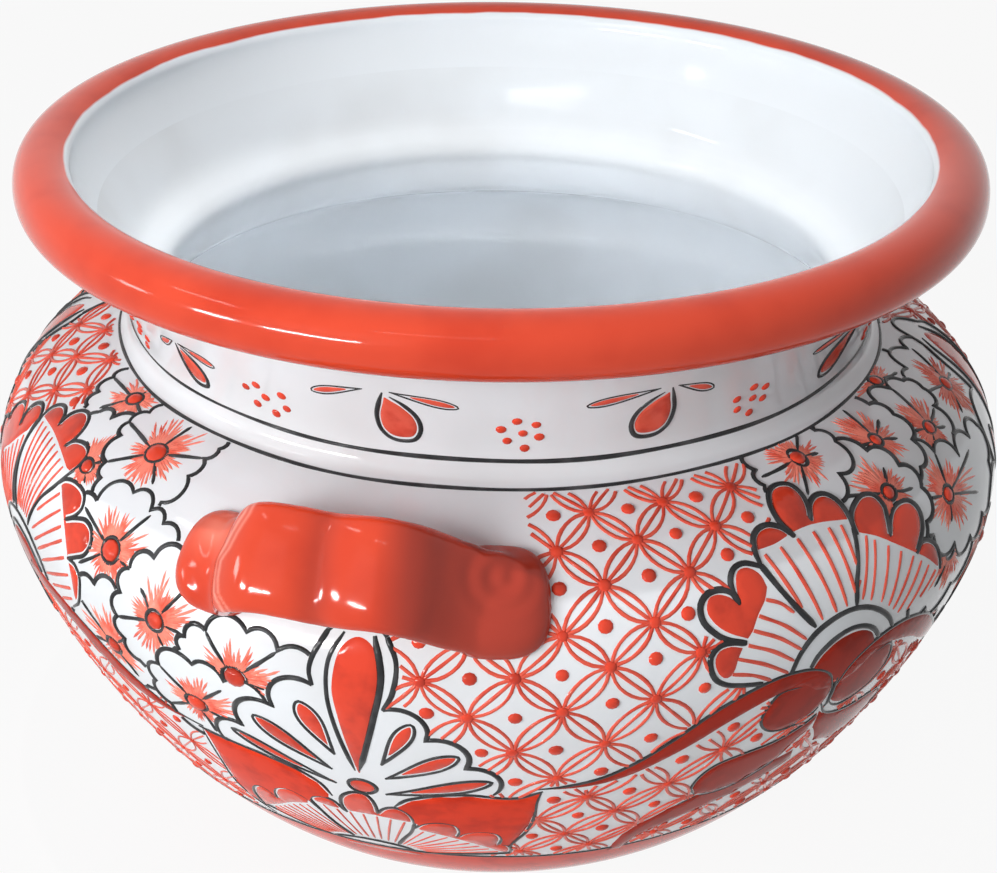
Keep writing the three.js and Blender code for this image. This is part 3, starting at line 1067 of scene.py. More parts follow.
# Half a fan's knot: a stem curling down from it, a bulb under the curl and a leaf below
knotMiddle = 51.4
knotForm = {
    "upper": [(51.2, 162), (50, 172), (47.5, 178.4), (44, 181), (40.6, 179.2), (36.4, 172.4),
              (32.5, 160.6), (29.2, 150), (25.4, 141), (21, 136.6), (18.8, 135.8)],
    "lower": [(19.6, 134.8), (22.5, 134.8), (25.9, 136.4), (29, 140.8), (31.5, 146.4), (34.9, 154.6),
              (38.2, 163), (41.6, 169), (44, 171.6), (46.2, 171.4), (48.4, 165)],
    "bulb": [(43.6, 171.6), (42.6, 164), (42.5, 156), (44.1, 148.8), (46.4, 146), (49, 148.2),
             (50.8, 154), (51.2, 162), (50.4, 170), (47.5, 176)],
    "curl": [(47.4, 169.4), (45.4, 171.9), (43.6, 171.6), (42.6, 165.8), (42.4, 157.2), (44, 148.8),
             (46.4, 145.6), (48.6, 145.8), (49.9, 148.5), (50.6, 151.5)],
    "leaf": [(52, 153), (50.4, 144.5), (46.4, 138.2), (41.8, 136.6), (38.8, 134), (37.4, 128), (37, 119),
             (38, 111.4), (40.5, 108.5), (44, 110), (48.6, 120), (51, 135)],
}


def knot(middle, drop, sides):
    stroke("charcoal", [[(middle, 168 - drop), (middle + 0.2, 160 - drop), (middle + 0.4, 151 - drop)]],
           2.4, (0.6, 0.6))

    def put(key, side):
        sunk = [drop * max(0, min(1, (s - 120) / 60)) for _, s in knotForm[key]]
        return [(middle + side * (x - knotMiddle), s - d) for (x, s), d in zip(knotForm[key], sunk)]

    for side in sides:
        upper, lower, bulb, curl = (put(key, side) for key in ("upper", "lower", "bulb", "curl"))
        stroke("charcoal", [upper], 2.0, (0.9, 0.5))
        stroke("charcoal", [curl], 1.7, (0.35, 0.4))
        band = runs(upper, lower)
        fill("stems", toPlace(inset(resampled(toMap(band), 1.6), 0.3)), 3.6)
        fill("bulbs", np.array(bulb))
        cover(band)
        cover(curveThrough(bulb, 1.6, True))
    for side in sides:
        leaf = put("leaf", side)
        fill("leaves", np.array(leaf))
        stroke("charcoal", [leaf[:8]], 1.7, (0.6, 0.4))
        cover(curveThrough(leaf, 1.6, True))


knot(knotMiddle, 0, (-1, 1))
knot(-47.9, 6, (1,))
# the stem under the right knot's left leaf, from the base band
under = [(30.2, 62), (30.3, 72), (30.8, 83), (32.3, 93.4), (35.2, 103), (38.3, 110), (42, 115),
         (46.6, 118), (51, 121), (52, 112), (48.1, 104.6), (44, 98.6), (40, 92.6), (36.8, 87.4),
         (34.6, 81.6), (33, 74), (32.4, 62)]
stroke("charcoal", [[(36.2, 104.5), (38.3, 109.4), (40.4, 112.6)]], 1.0, (0.4, 0.4))
fill("leaves", np.array(under))
cover(curveThrough(under, 1.6, True))
# the left knot's right stem, seen edge on
stem = [(-46.5, 176.6), (-41, 176), (-36.5, 172.3), (-33, 166.3), (-30, 158.8), (-27, 151.8),
        (-24.5, 147), (-22, 143.4), (-20.5, 142)]
stem += [(-22, 141), (-25, 141.4), (-28, 143.4), (-31, 147.6), (-34, 154.4), (-37, 161), (-41, 166),
         (-46.5, 167.6)]
stroke("charcoal", [stem[2:9] + [(-18.8, 141.4)]], 1.1, (0.3, 0.9))
fill("stems", toPlace(inset(smoothPath(toMap(stem), 1.6, True), 0.2)), 3.6)
cover(curveThrough(stem, 1.6, True))


def fanHeart(dome, inner, outer, line=2.6):
    fill("bulbs", np.array(dome))
    stroke("fanLines", [inner, outer], line, (0.8, 0.8))
    cover(curveThrough(outer + [(outer[-1][0], outer[-1][1] - 8), (outer[0][0], outer[0][1] - 8)], 1.6, True))


# The right fan
right = (51.4, 181)
fanHeart(
    [(46.9, 168), (47.6, 182), (49.4, 187.6), (51.6, 189.2), (53.6, 187.8), (55.3, 183), (56.1, 168)],
    [(46.7, 179), (47.4, 185), (49.1, 189.4), (51.3, 191.3), (53.2, 190.2), (55.1, 186.2), (56.3, 180.6)],
    [(44.3, 181), (45.1, 189), (46.7, 194.9), (49.1, 198.2), (51.6, 199), (53.8, 197.2), (55.9, 192.8),
     (57.6, 186.8), (58.4, 182)],
)
fanSector(
    "fanLines",
    runs(
        [(42.2, 226), (42.1, 231.5), (42.6, 236.8), (43.7, 239.5), (45, 239.8), (46.4, 237.2), (47.3, 233)],
        [(47.3, 233), (46.5, 239.5), (46.6, 246.8), (47.6, 252.2), (49, 254), (50.7, 252.3),
         (51.3, 247.6), (51.1, 241.8), (50.4, 236.4)],
        [(50.4, 236.4), (51.3, 241.5), (52.6, 244), (54, 243.6), (55, 240), (55.4, 233.5), (55.1, 227)],
    ),
    [(42.6, 230.4), (44.8, 230.8), (47.3, 232.6), (49.4, 233.2), (51.8, 232.2), (54.8, 229.6)],
    [(47, 198), (49.5, 199.4), (52.5, 199.5)],
    [((43.1, 229.5), (45.8, 205.4)), ((45.2, 230.5), (48.1, 197.8)), ((47.6, 231.4), (49.9, 198.6)),
     ((49.9, 231.8), (51.3, 199)), ((52, 231), (52.6, 202)), ((53.7, 230), (53.6, 213))],
    right, 2.8, ([(43.5, 216.5), (45.1, 207.2)], [(54.5, 220.2), (53.7, 213), (53, 207.6)]), brush=1.9,
)
# its heart-shaped first lobes, and a third below
heart = runs(
    [(42.2, 225.5), (41.5, 227), (40.3, 228.5), (39.1, 227.5), (38.4, 224.2), (38.3, 219.2), (38.7, 215.3)],
    [(38.7, 215.3), (38.2, 219.2), (37, 221.2), (35.5, 220.5), (34.6, 217), (34.6, 211.5), (35.7, 206.2),
     (36.8, 203.2), (38.9, 200.2)],
)
fill("lobes", runs(
    [(42.2, 218), (41.8, 223.2), (40.6, 226.7), (39.4, 226.2), (38.85, 222), (38.75, 214.4)],
    [(38.75, 214.4), (37.8, 218), (36.6, 219.8), (35.6, 219), (35.15, 214.6), (35.8, 209.6), (37, 205.6),
     (39.1, 201.5)],
    [(39.1, 201.5), (39.7, 203.8), (40.5, 208.8), (41.6, 213.6), (42.2, 218)],
))
stroke("fanLines", [heart], 2.8, (0.8, 0.8))
third = curveThrough([(38.9, 200), (37.5, 201.5), (36, 201.2), (35.1, 198), (35, 193.8), (35.6, 188.2),
                      (36.8, 184.8), (38.4, 182.8), (41, 180.6)])
fill("lobes", runs([(38.5, 198.6), (37.2, 200.2), (36, 199.4), (35.5, 196.4), (35.8, 191), (36.6, 187.8),
                    (37.2, 188), (37.6, 190.2), (38, 195), (38.5, 198.6)]))
stroke("fanLines", [third], 2.8, (0.8, 0.8))
wing = np.vstack([heart, third, [(44.3, 181), (45.1, 189), (46.7, 194.9), (47, 198), (45.1, 207.2),
                                 (43.5, 216.5), (42.2, 226)]])
feather = [((41.7, 213.8), (44.6, 206.2)), ((40.6, 208.8), (45.8, 194.5)), ((39.8, 204), (45.2, 191)),
           ((39.1, 199), (44.4, 187)), ((37.9, 194.8), (43.9, 182)), ((37.4, 188.8), (42, 180.8))]
plumes = [[a, ((a[0] + b[0]) / 2 + 0.1, (a[1] + b[1]) / 2 + 1), b] for a, b in feather]
stroke("stripes", plumes, 1.8, (0.9, 0.6), shown=wing)
cover(wing)
fanSector(
    "fanLines",
    runs(
        [(55.2, 224), (55.3, 229), (55.9, 232.4), (57.2, 235.2), (58.8, 236.5), (60.3, 234.4),
         (60.8, 229), (60.3, 224), (59.6, 218)],
        [(59.6, 218), (60.5, 222.5), (61.7, 225.8), (63.4, 226.8), (64.9, 225), (65.6, 220), (65, 213.6),
         (63.9, 209.6), (62.9, 206.6)],
        [(62.9, 206.6), (64, 208.9), (65.2, 208), (66.3, 204.5), (66.8, 199.2), (66.8, 193)],
    ),
    [(55.6, 223), (57.4, 219.4), (59.5, 213.6), (62, 206.6), (64, 201), (66.4, 192.5)],
    [(52.6, 199.5), (55.8, 193.6), (57.6, 187), (58.2, 184)],
    [((56.3, 222.4), (53.2, 199.4)), ((57.2, 219.5), (54.4, 197.6)), ((58.8, 215), (55.9, 194.8)),
     ((60.4, 210.5), (57, 191.6)), ((62.1, 206), (57.7, 189)), ((63.3, 202.2), (58.6, 186)),
     ((64.5, 198.5), (60.4, 184.6)), ((65.8, 194.2), (61.6, 184))],
    right, 2.6, ([(54.6, 217), (53.6, 209)], [(63, 187)]), brush=1.6, drawn=0,
)

# The left fan
left = (-48.3, 176)
fanHeart(
    [(-53.5, 170), (-52.6, 180), (-50.6, 185), (-48.3, 186.4), (-46, 185), (-44, 180), (-43.4, 170)],
    [(-54, 173), (-53.2, 181), (-51, 187), (-48.3, 188.6), (-45.6, 187), (-43.4, 181), (-42.6, 173)],
    [(-55.3, 176), (-54.6, 184), (-52.4, 191.4), (-48.3, 194.4), (-44.4, 191.6), (-42, 185), (-41.3, 177)],
    2.0,
)
fanSector(
    "fanLines",
    np.vstack([
        lobes([(-53.5, 229.6, 0.5), (-49, 235.5, 0.9), (-44.9, 232)], left),
        curveThrough([(-44.9, 232), (-43.9, 236.5), (-41.6, 238.6), (-40.1, 236.5), (-40, 231),
                      (-40.8, 225.5)]),
    ]),
    [(-53.2, 230.2), (-49, 230.6), (-45, 228.4), (-41.8, 225.4)],
    [(-49.3, 195), (-47.4, 195.6), (-45.4, 195)],
    8, left, 2.2, ([(-53.1, 217), (-51.5, 205)], [(-42, 218), (-43.7, 210), (-44.8, 202)]),
)
fanSector(
    "fanLines",
    runs(
        [(-41.6, 219.8), (-40.6, 223.6), (-38.4, 225.2), (-36.3, 223.5), (-35.6, 218.8), (-36.2, 214.8),
         (-37.6, 211)],
        [(-37.6, 211), (-36, 214), (-34.1, 216), (-32.6, 213.8), (-32.1, 209), (-32.7, 204),
         (-34.1, 200.8), (-35.4, 198.2)],
        [(-35.4, 198.2), (-34, 197.8), (-33, 194.2), (-33.1, 187.8), (-33.9, 181), (-35.6, 175.6)],
    ),
    [(-40.9, 218.6), (-38.6, 211.2), (-37, 204.4), (-35.8, 197), (-35, 190.4), (-35, 181)],
    [(-44.6, 193.6), (-42.4, 187.6), (-41.3, 178)],
    [((-40.4, 217.6), (-43.8, 204)), ((-39, 212.8), (-44.4, 195)), ((-37.9, 207.6), (-43.6, 191.6)),
     ((-37.1, 203), (-42.8, 189)), ((-36.2, 197.2), (-42, 185.4)), ((-35.3, 191.2), (-41.4, 180.6)),
     ((-35.1, 185.5), (-40.4, 177)), ((-35.4, 179.8), (-38.6, 174))],
    left, 2.0, ([(-43.2, 209), (-44.7, 200)], [(-38.4, 174.6)]), gap=1.5, brush=1.7, drawn=0,
)
fanSector(
    "fanLines", [(-61.5, 176, 0.5), (-64, 197, 0.5), (-63, 211, 0.42), (-57.4, 219, 0.55), (-53.8, 229)],
    [(-59.6, 184), (-60.6, 192), (-60, 200), (-57.4, 208), (-54.2, 221)],
    [(-55.2, 179), (-54, 187.6), (-50.4, 193.6)],
    9, left, 2.4, ([(-57.2, 176)], [(-52.6, 209)]),
)


# Blossoms: five petals round a hub, red brushed outwards from it
blossoms = [
    # (hub, its ring's half width and height, vein ends, petal edge from cusp to cusp)
    ((-17.9, 158.4), (1.5, 4.2), [(-21.8, 172.5), (-13.8, 172), (-22.5, 148.7), (-15, 154.2), (-16.9, 141.5)],
     [(-21.8, 172.5), (-16.8, 180.9), (-13.2, 177.5), (-8.6, 172), (-9.6, 158), (-14, 148),
      (-16.5, 139.5), (-22.5, 148.7), (-23.3, 161.1)]),
    ((-11.7, 181.8), (1.5, 5), [(-14.95, 198.1), (-7, 197.6), (-8.5, 179.6)],
     [(-14.95, 198.1), (-10.3, 202.2), (-6.9, 198), (-2.6, 192), (-4, 180), (-8, 170), (-13, 168),
      (-18.2, 176), (-18.2, 186.5), (-17.4, 192.8)]),
    ((-21.2, 194.1), (1.2, 4.5), [(-18.2, 209), (-23.6, 204), (-26.7, 187.5), (-17.9, 193.3), (-20.4, 184)],
     [(-25.6, 209), (-22.9, 216.5), (-19, 221), (-14, 214), (-13, 203), (-16, 192), (-18, 180),
      (-24.8, 169), (-26.2, 178), (-26.7, 187.8), (-26.2, 198.6)]),
    ((-28.8, 169.6), (1.2, 4.2), [(-33.4, 184.7), (-26.2, 178.1), (-32.7, 166), (-26.6, 156)],
     [(-33.6, 188), (-30.4, 195.7), (-26.7, 197.4), (-23, 186), (-23.5, 168), (-25.5, 153), (-28.5, 155),
      (-33, 164), (-36, 174)]),
    ((-28.87, 211.6), (1.36, 5), [(-25.7, 230.2), (-35.2, 220), (-33.4, 199.7), (-25.8, 209)],
     [(-34, 224.7), (-29.7, 234.6), (-26.1, 231.6), (-23.6, 229.4), (-20.8, 222.5), (-19, 210),
      (-24, 199), (-30, 192), (-35, 200), (-37.5, 212)]),
    ((-31.14, 252.2), (1.6, 4.3), [(-31.15, 270), (-24.8, 259.3), (-28.1, 240.8), (-36.6, 238.6),
                                   (-39.5, 256.5)],
     [(-39.5, 256.5), (-38.8, 264.8), (-38.5, 272), (-31.2, 280), (-24.5, 271.5), (-24.2, 266),
      (-24.8, 259.3), (-24.6, 249.8), (-25.4, 236.3), (-30, 228), (-34.2, 225), (-35.5, 232.5),
      (-36.6, 238.6), (-38.2, 250.2)]),
    ((-38.8, 232.8), (1.3, 3.1), [(-36.6, 239.7), (-37.4, 227), (-42, 239.8)],
     [(-45.2, 251), (-42.4, 252.6), (-38.2, 256), (-34.4, 244), (-33.6, 230), (-36, 220), (-41, 222),
      (-44.6, 236)]),
    ((-43.4, 265), (1.4, 3.5), [(-38.4, 261.5), (-51.2, 264), (-46, 252), (-43.8, 272)],
     [(-52, 271), (-51.2, 264), (-49.4, 256), (-48.2, 249), (-43, 246), (-37.6, 254), (-37, 264),
      (-38, 273), (-45, 280)]),
    ((54.8, 261.3), (1.06, 4.7), [(48.1, 259.1), (58.1, 259.4), (58.5, 271.3), (52, 245.2)],
     [(48.9, 272.5), (48.2, 263), (47.6, 255.2), (49.5, 244), (54, 240), (58, 248), (62, 260),
      (61.4, 269), (58.5, 276), (53, 278)]),
    ((62.6, 232.1), (1.15, 3.3), [(55.5, 239.9), (64.6, 241), (66.6, 228)],
     [(54.9, 240.8), (56.6, 250.4), (60.4, 258.5), (64.6, 250), (67, 238), (68, 226), (66, 214),
      (60, 212), (56, 224)]),
    ((67.3, 251.3), (0.95, 3.3), [(60.7, 254.1), (69, 269.7), (71.4, 256.9), (70.7, 246.3), (65.7, 236.3)],
     [(63, 271.5), (61.6, 264.5), (60.7, 254.1), (62.1, 247), (65.4, 236.8), (70, 232), (72.5, 242),
      (74.4, 254), (73.4, 264), (70.4, 274), (66, 279)]),
    ((71.9, 216.5), (1.2, 3.6), [(65.8, 223), (79.3, 204.4), (74.2, 232), (70.7, 206.5), (81.5, 220)],
     [(65.4, 228), (67, 234.8), (70.9, 240.5), (74.2, 232), (78.4, 223), (83.5, 222.5), (87.7, 221),
      (86, 206), (79.4, 195), (74.9, 193), (70.4, 198), (66.4, 208)]),
    ((77.2, 239.9), (1.2, 3), [(70.8, 247.3), (72.9, 223.7), (80, 262), (81.7, 242.3), (80.3, 234.5)],
     [(70.9, 247.3), (74.9, 262.6), (79.7, 261), (83.4, 258.5), (84.4, 250), (82, 243), (80.2, 230),
      (76.4, 220), (71.6, 227.5)]),
    ((89.5, 240.9), (1.3, 3.2), [(83.8, 248), (86.5, 229.5), (93.5, 239), (94, 258)],
     [(83.7, 248), (87.3, 258.7), (93.4, 260), (98, 252), (98, 238), (94, 224), (87, 219), (80.2, 228),
      (81.8, 242.5)]),
    ((69, 197), (1.1, 3.4), [(64.5, 204), (66, 186), (74, 188)],
     [(62, 206), (66, 211), (71, 208), (75.5, 199), (76, 188), (71, 178), (65, 178), (61, 190)]),
    ((80.5, 182), (1.2, 4), [(75, 192), (82, 198), (86, 180), (80, 164), (74, 172)],
     [(74, 194), (79, 204), (86, 200), (90, 188), (88, 172), (82, 158), (75, 156), (70, 166), (71, 182)]),
    ((80, 268), (1.2, 3), [(75, 262), (85, 262)],
     [(70, 272), (74, 260), (79.5, 256), (85, 258), (90, 266), (88, 276), (78, 280)]),
]


petalBrush = {"rays": 104, "long": (0.44, 0.68), "short": (0.28, 0.47), "nearVein": 0.28, "byVein": 0.55}


# How far a ray runs from the hub to the edge
def reachTo(hub, d, edge):
    a = edge - hub
    b = np.roll(a, -1, axis=0)
    side = b - a
    base = d[0] * side[:, 1] - d[1] * side[:, 0]
    base = np.where(abs(base) < 1e-9, 1e-9, base)
    t = (a[:, 0] * side[:, 1] - a[:, 1] * side[:, 0]) / base
    u = (a[:, 0] * d[1] - a[:, 1] * d[0]) / base
    hits = t[(t > 0) & (u >= 0) & (u <= 1)]
    return float(hits.min()) if len(hits) else 12.0


def blossom(hub, ring, veins, cusps):
    cusps = [(*c, roundSwell) for c in cusps]
    edge = lobes([*cusps, cusps[0]], hub)
    shape = toMap(edge)[:-1]
    centre = toMap([hub])[0]

    # a direction, and where it leaves the hub's ring
    def ray(angle):
        d = np.array([math.cos(angle), math.sin(angle)])
        return d, 1 / math.hypot(d[0] / (ring[0] * acrossMm), d[1] / ring[1])

    veinAngles = [math.atan2(*(toMap([v])[0] - centre)[::-1]) for v in veins]
    beside, least = petalBrush["nearVein"], petalBrush["byVein"]
    lines = {"long": [], "short": []}
    for i in range(petalBrush["rays"]):
        angle = 2 * math.pi * (i + chance.uniform(-0.3, 0.3)) / petalBrush["rays"]
        d, near = ray(angle)
        full = reachTo(centre, d, shape)
        nearVein = min(abs((angle - v + math.pi) % (2 * math.pi) - math.pi) for v in veinAngles)
        reach = "long" if i % 2 else "short"
        share = chance.uniform(*petalBrush[reach])
        share *= 1 if nearVein > beside else least + (1 - least) * nearVein / beside
        far = max(full * share, near + 1.5)
        bend = np.array([-d[1], d[0]]) * chance.uniform(-0.04, 0.04) * far
        pts = [centre + d * near, centre + d * (near + far) / 2 + bend, centre + d * far]
        lines[reach].append(toPlace(np.array(pts)))
    stroke("petals", lines["long"], 1.2, (0.95, 0.1), 2.6, shown=body)
    stroke("petals", lines["short"], 1.7, (1, 0.12), 2.6, shown=body)
    rootAndEnd = []
    for v, a in zip(veins, veinAngles):
        d, near = ray(a)
        start, end = centre + d * near, toMap([v])[0]
        rootAndEnd.append(toPlace(np.array([start, (start + end) / 2 + chance.uniform(-0.4, 0.4), end])))
    stroke("blossomLines", rootAndEnd, 1.9, (0.9, 0.35), shown=body)
    stroke("blossomLines", [edge], 2.3, (0.9, 0.9), shown=body)
    stroke("blossomLines", [oval(hub, *ring)], 2.2, (1, 1), shown=body)
    bead("hubs", [hub], (ring[0] * acrossMm + ring[1]) / 2 - 0.7)
    cover(edge)


for b in blossoms:
    blossom(*b)
print("motifs drawn")


# Lattice of crossing bowed strokes, with raised drops at the crossings and between them
latticeForm = {"uprightAbove": 145, "droopLeftOf": 27, "droopAside": 0.09, "bows": (-0.17, 0, 0.17)}


# The rows below a height lean, and with droop they sink towards the left
def lattice(rows, nodes, pitch, lean, shown, brush=1.75, dot=2.7, droop=0):
    def leant(s):
        return lean * max(0, latticeForm["uprightAbove"] - s)

    def drooped(x, s):
        left = max(0, latticeForm["droopLeftOf"] - x)
        return x + latticeForm["droopAside"] * droop * left, s - droop * left

    low, high = min(p[0] for p in shown), max(p[0] for p in shown)
    edges, crossings, dots = [], [], []
    for i, s in enumerate(rows):
        first = nodes[i % 2] - leant(s)
        for k in range(math.floor((low - first) / pitch), int((high - first) / pitch) + 2):
            x = first + k * pitch
            crossings.append((x + chance.uniform(-0.15, 0.15), s))
            dots.append((x + pitch / 2 + chance.uniform(-0.35, 0.35), s + chance.uniform(-1.2, 1.2)))
            for below in rows[i + 1 : i + 2]:
                for side in (-1, 1):
                    edges.append(((x, s), (x + side * pitch / 2 - (leant(below) - leant(s)), below)))
    strokes = []
    for a, b in edges:
        fa, fb = toMap([drooped(*a), drooped(*b)])
        aside = np.array([-(fb - fa)[1], (fb - fa)[0]])
        for bow in latticeForm["bows"]:
            bow = bow + chance.uniform(-0.02, 0.02)
            quarter, half, rest = (fa * (1 - t) + fb * t for t in (0.25, 0.5, 0.75))
            sideways = aside * bow
            pts = [fa, quarter + sideways * 0.78, half + sideways, rest + sideways * 0.78, fb]
            strokes.append(toPlace(np.array(pts)))
    stroke("lattice", strokes, brush, (0.6, 0.6), 3.0, shown=shown)
    area = np.asarray(shown, float)
    for kind, places, size, reaches in (
        ("crossings", crossings, dot * 0.9, (0,)),
        ("drops", dots, dot, (0, 1.5, 3, 4.5)),
    ):
        places = np.array([drooped(*p) for p in places])
        bead(kind, settled(places[within(places, area)], size, reaches), size)


rowHeights = [273, 259, 244.5, 229.5, 214, 200.5, 184.5, 164.5, 145.5, 128, 112, 95, 78, 62]
topRight = [(17.5, 270), (47.6, 270), (46.5, 258), (46, 240), (60, 200), (60, 172), (80, 172),
            (99.5, 150), (99.5, 68), (-3, 68), (-3, 206), (19.5, 243), (17.5, 252)]
lattice(rowHeights, (11.3, 6.7), 9.15, 0.045, topRight, droop=0.27)
leftTop = [(-80.5, 270), (-51.6, 270), (-48.5, 249), (-50, 232), (-56, 216), (-62, 196), (-80.5, 190)]
lattice([280, 266, 252.5, 240.5, 227, 213, 199, 185], (-61.6, -56.5), 10.1, 0, leftTop)
leftLow = [(-80.5, 190), (-58, 176), (-40, 176), (-19.8, 144), (-19.8, 68), (-80.5, 68)]
lattice([184, 168, 152, 136, 121, 104, 88, 74, 60], (-23.2, -27.8), 9.15, 0, leftLow, 1.2, 2)
print("lattice drawn")

# Rings round the neck and above the base band, brushed thicker and thinner as they go round
rings = [  # (up along the wall, width, wobble, phase)
    (283.6, 1.9, 0.6, 0.4),
    (neckLine + 0.5, 1.9, 0.3, 1.3),
    (bandLine + 0.4, 1.3, 0.3, 2.0),
]
for along, width, wobble, phase in rings:
    turned = np.radians(np.linspace(-80.5, 99.5, 220))
    high = along - wobble * np.sin(2 * turned) + 0.25 * np.sin(11 * turned)
    brush = 1 + 0.2 * np.sin(2 * turned + phase) + 0.12 * np.sin(17 * turned)
    painted.setdefault("rings", []).append((np.stack([np.degrees(turned), high], -1), width * brush))

# Neck band: a drop between two slim leaves, then a rosette of seven raised dots
repeats = 11
repeat = 360 / repeats
leftLeaning, leftOfHandle = (1, 2, 5, 7, 8), 10
rosette = [(-2.8, 6.6), (6.5, 4.5), (-10.5, 2.1), (0, 0), (7.7, -2.1), (-7.7, -3.9), (1.1, -7.6)]
leftRosette = [(-10.6, 2.8), (-2.9, 5.8), (0, 0), (11.4, 3.8), (-7.3, -5), (11.7, -3), (4, -7.2)]
leafReach = {(0, -1): 10.9, (1, -1): 8.8}  # by drop and side; 7.4 elsewhere
dropFoot = 290
dropSide = [(-1.5, 315.8), (-2.2, 310), (-2.9, 302), (-2.7, 295), (-1.6, 291), (0.2, 289.9), (1.9, 291.4),
            (2.7, 296.5), (2.4, 303), (0.9, 309.5), (-0.7, 313.6)]
half = (painted, filled, beads)
painted, filled, beads, covered = {}, {}, {}, []
for k in range(repeats):
    x = 1.6 + repeat * k
    lean = -1 if k in leftLeaning else 1
    leftOne = k == leftOfHandle  # a smaller drop that leans
    small, tilt = (0.75, 0.05) if leftOne else (1, 0)

    def atDrop(dx, s):
        up = (s - dropFoot) * small
        return (x + dx * small - tilt * up, dropFoot + up)

    shape = [atDrop(lean * dx, s) for dx, s in dropSide]
    fill("neckReds", toPlace(inset(smoothPath(toMap(shape), 1.3, True), 1.7)), 3)
    stroke("neckLines", [shape], 2.1, (0.35, 0.3))
    for side in (-1, 1):
        reach = leafReach.get((k, side), 7.4)
        tip = atDrop(side * reach, 310.6 + chance.uniform(-1, 1))
        start = atDrop(side * (reach / 2 - 2.9) - 1.4 * lean, 316.5)
        teardrop(start, tip, 2.3, 1.6, 0.9, 0.7, "neckReds", "neckLeaves")
    flip = chance.choice((-1, 1)) if k else 1
    if leftOne:
        middle, form, flip = (x + 13.1, 298), leftRosette, 1
    else:
        middle, form = (x + 15.8, 296.8), rosette
    spots = [
        (middle[0] + flip * dx / acrossMm + chance.uniform(-0.15, 0.15), middle[1] + dy) for dx, dy in form
    ]
    bead("neckDots", spots, 1.9)


def layAll(name, kinds):
    laid = []
    for kind, way, material in kinds:
        ob = way(f"{name}{kind[0].upper()}{kind[1:]}", kind, material)
        onlySelect(ob)
        bpy.ops.object.shade_smooth()
        slot = "charcoal_line" if material == charcoalPaint else "orange_red_glaze"
        finished(ob, slot)
        laid.append((ob, slot))
    return laid


layAll("", [
    # the neck's drops take the paler line red, a painted sheen of the gloss over them
    ("neckReds", layFills, redLine),
    ("neckLines", layStrokes, charcoalPaint),
    ("neckLeaves", layStrokes, charcoalPaint),
    ("neckDots", layBeads, redPaint),
])
painted, filled, beads = half
laid = layAll("front", [
    ("rings", layStrokes, charcoalPaint),
    ("lobes", layFills, redPaint),
    ("bulbs", layFills, deepPaint),
    ("stems", layFills, deepPaint),
    ("leaves", layFills, deepPaint),
    ("crescents", layFills, lowPaint),
    ("teardrops", layFills, redPaint),
    ("charcoal", layStrokes, charcoalPaint),
    ("palmetteLines", layStrokes, charcoalPaint),
    ("fanLines", layStrokes, charcoalPaint),
    ("blossomLines", layStrokes, charcoalPaint),
    ("stripes", layStrokes, redLine),
    ("petals", layStrokes, petalWash),
    ("hubs", layBeads, redPaint),
    ("lattice", layStrokes, redLine),
    ("crossings", layBeads, redPaint),
    ("drops", layBeads, redPaint),
])
for ob, slot in laid:
    finished(halfTurned(ob, ob.name.replace("front", "back")), slot)
print("painting laid", {ob.name: len(ob.data.polygons) for ob, _ in laid})


# Studio: white floor and surroundings, a soft key from the upper left, and low windows for the gloss
studio = {"around": 0.25, "paper": 0.6, "floorWhite": 0.92}
lamps = {  # metres, watts and degrees, turned and raised as seen from the aim
    "key": {"size": (1.3, 1.0), "power": 41, "turn": -22, "rise": 17, "away": 2.2, "mirrored": False},
    "windowNear": {"size": (0.42, 0.11), "power": 20.4, "turn": -47, "rise": 4},
    "windowFar": {"size": (0.92, 0.09), "power": 36, "turn": -25, "rise": 4},
    "sideWindow": {"size": (0.4, 0.2), "power": 4, "turn": -69, "rise": 4.5},
    "skylightFront": {
        "size": (0.95, 0.016), "power": 1.32, "turn": -1, "rise": 37.6, "aim": (-0.018, 0.158, 0.25),
    },
    "skylightLeft": {"size": (0.75, 0.03), "power": 3, "turn": -60, "rise": 37.6,
                     "aim": (0.06, 0.146, 0.246)},
}
mouthBeam = {"power": 790, "cone": 6.6, "blend": 0.5, "soft": 0.12, "at": (-0.008, -0.02, 2.45)}


# 1 for the rays that show the white background: the camera's, mirrored and passing ones
def seenBy(tree):
    path = addNode(tree, "ShaderNodeLightPath")
    seen = path["Is Camera Ray"]
    for ray in ("Is Glossy Ray", "Is Transmission Ray"):
        seen = maths(tree, "MAXIMUM", seen, path[ray])
    return seen


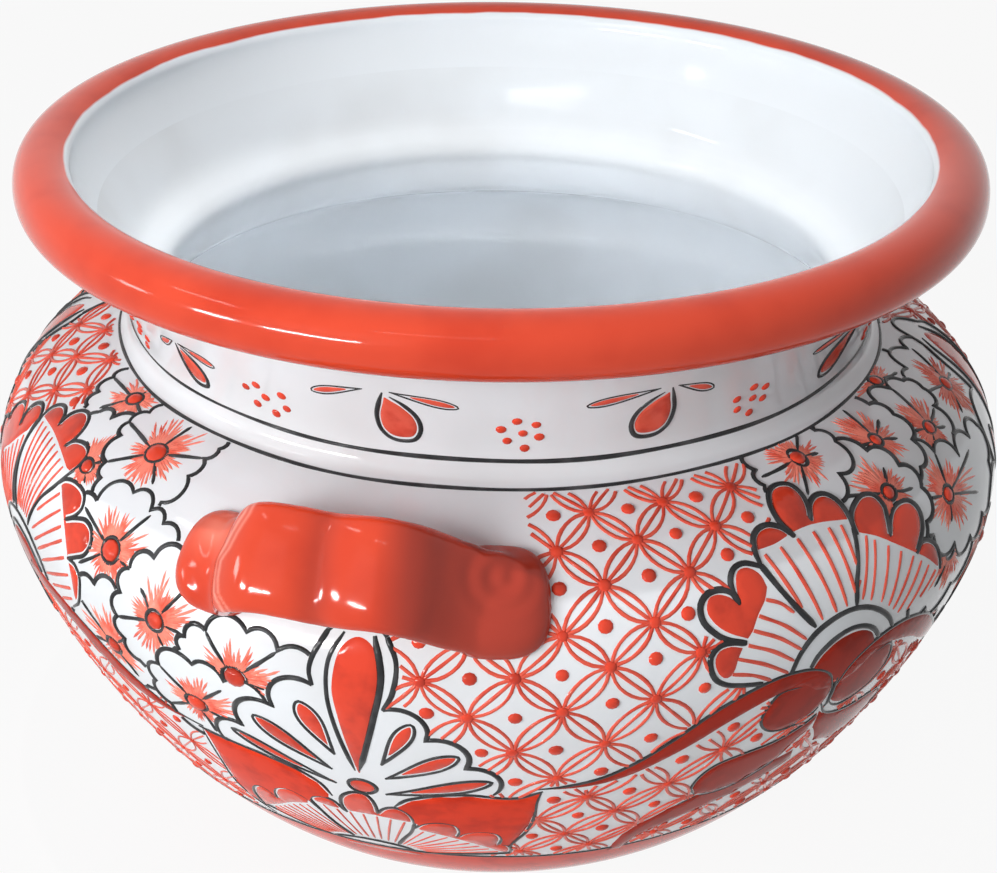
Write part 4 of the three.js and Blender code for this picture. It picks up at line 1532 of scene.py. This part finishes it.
def addStudio(s):
    bpy.ops.mesh.primitive_plane_add(size=8, location=(0, 0, -0.0005))
    floor = bpy.context.object
    floor.name = "floor"
    m, tree, paper = newMaterial("floorPaper")
    plug(tree, paper, {"Base Color": (s["paper"], s["paper"], s["paper"], 1), "Roughness": 0.9})
    white = addNode(tree, "ShaderNodeEmission", {"Strength": 1})["Emission"]
    share = maths(tree, "MULTIPLY", seenBy(tree), s["floorWhite"])
    mix = addNode(tree, "ShaderNodeMixShader", {"Fac": share, 1: paper.outputs["BSDF"], 2: white})
    plug(tree, tree.nodes["Material Output"], {"Surface": mix["Shader"]})
    floor.data.materials.append(m)

    world = bpy.data.worlds.new("studio")
    bpy.context.scene.world = world
    world.use_nodes = True
    tree = world.node_tree
    levels = {"To Min": s["around"], "To Max": 1, "Value": seenBy(tree)}
    strength = addNode(tree, "ShaderNodeMapRange", levels)["Result"]
    plug(tree, tree.nodes["Background"], {"Strength": strength, "Color": (1, 1, 1, 1)})


def addLight(name, kind, power):
    data = bpy.data.lights.new(name, kind)
    data.energy = power
    return addObject(name, data), data


# The lamps that are seen mirrored in the glaze give no other light
def addLamp(name, size, power, turn, rise, away=2.6, aim=(0, 0, 0.16), mirrored=True):
    ob, data = addLight(name, "AREA", power)
    data.shape = "RECTANGLE"
    data.size, data.size_y = size
    t, e = math.radians(turn), math.radians(rise)
    at = Vector((math.sin(t) * math.cos(e), -math.cos(t) * math.cos(e), math.sin(e))) * away
    ob.location = at + Vector(aim)
    ob.rotation_euler = (-at).to_track_quat("-Z", "Y").to_euler()
    ob.visible_glossy = mirrored
    ob.visible_diffuse = not mirrored


# A narrow beam straight down into the mouth
def addMouthBeam(b):
    ob, data = addLight("mouthBeam", "SPOT", b["power"])
    data.spot_size = math.radians(b["cone"])
    data.spot_blend = b["blend"]
    data.shadow_soft_size = b["soft"]
    ob.location = b["at"]
    ob.visible_glossy = False


addStudio(studio)
addMouthBeam(mouthBeam)
for name, lamp in lamps.items():
    addLamp(name, **lamp)
bpy.context.scene.view_settings.view_transform = "Standard"
print("studio lit")
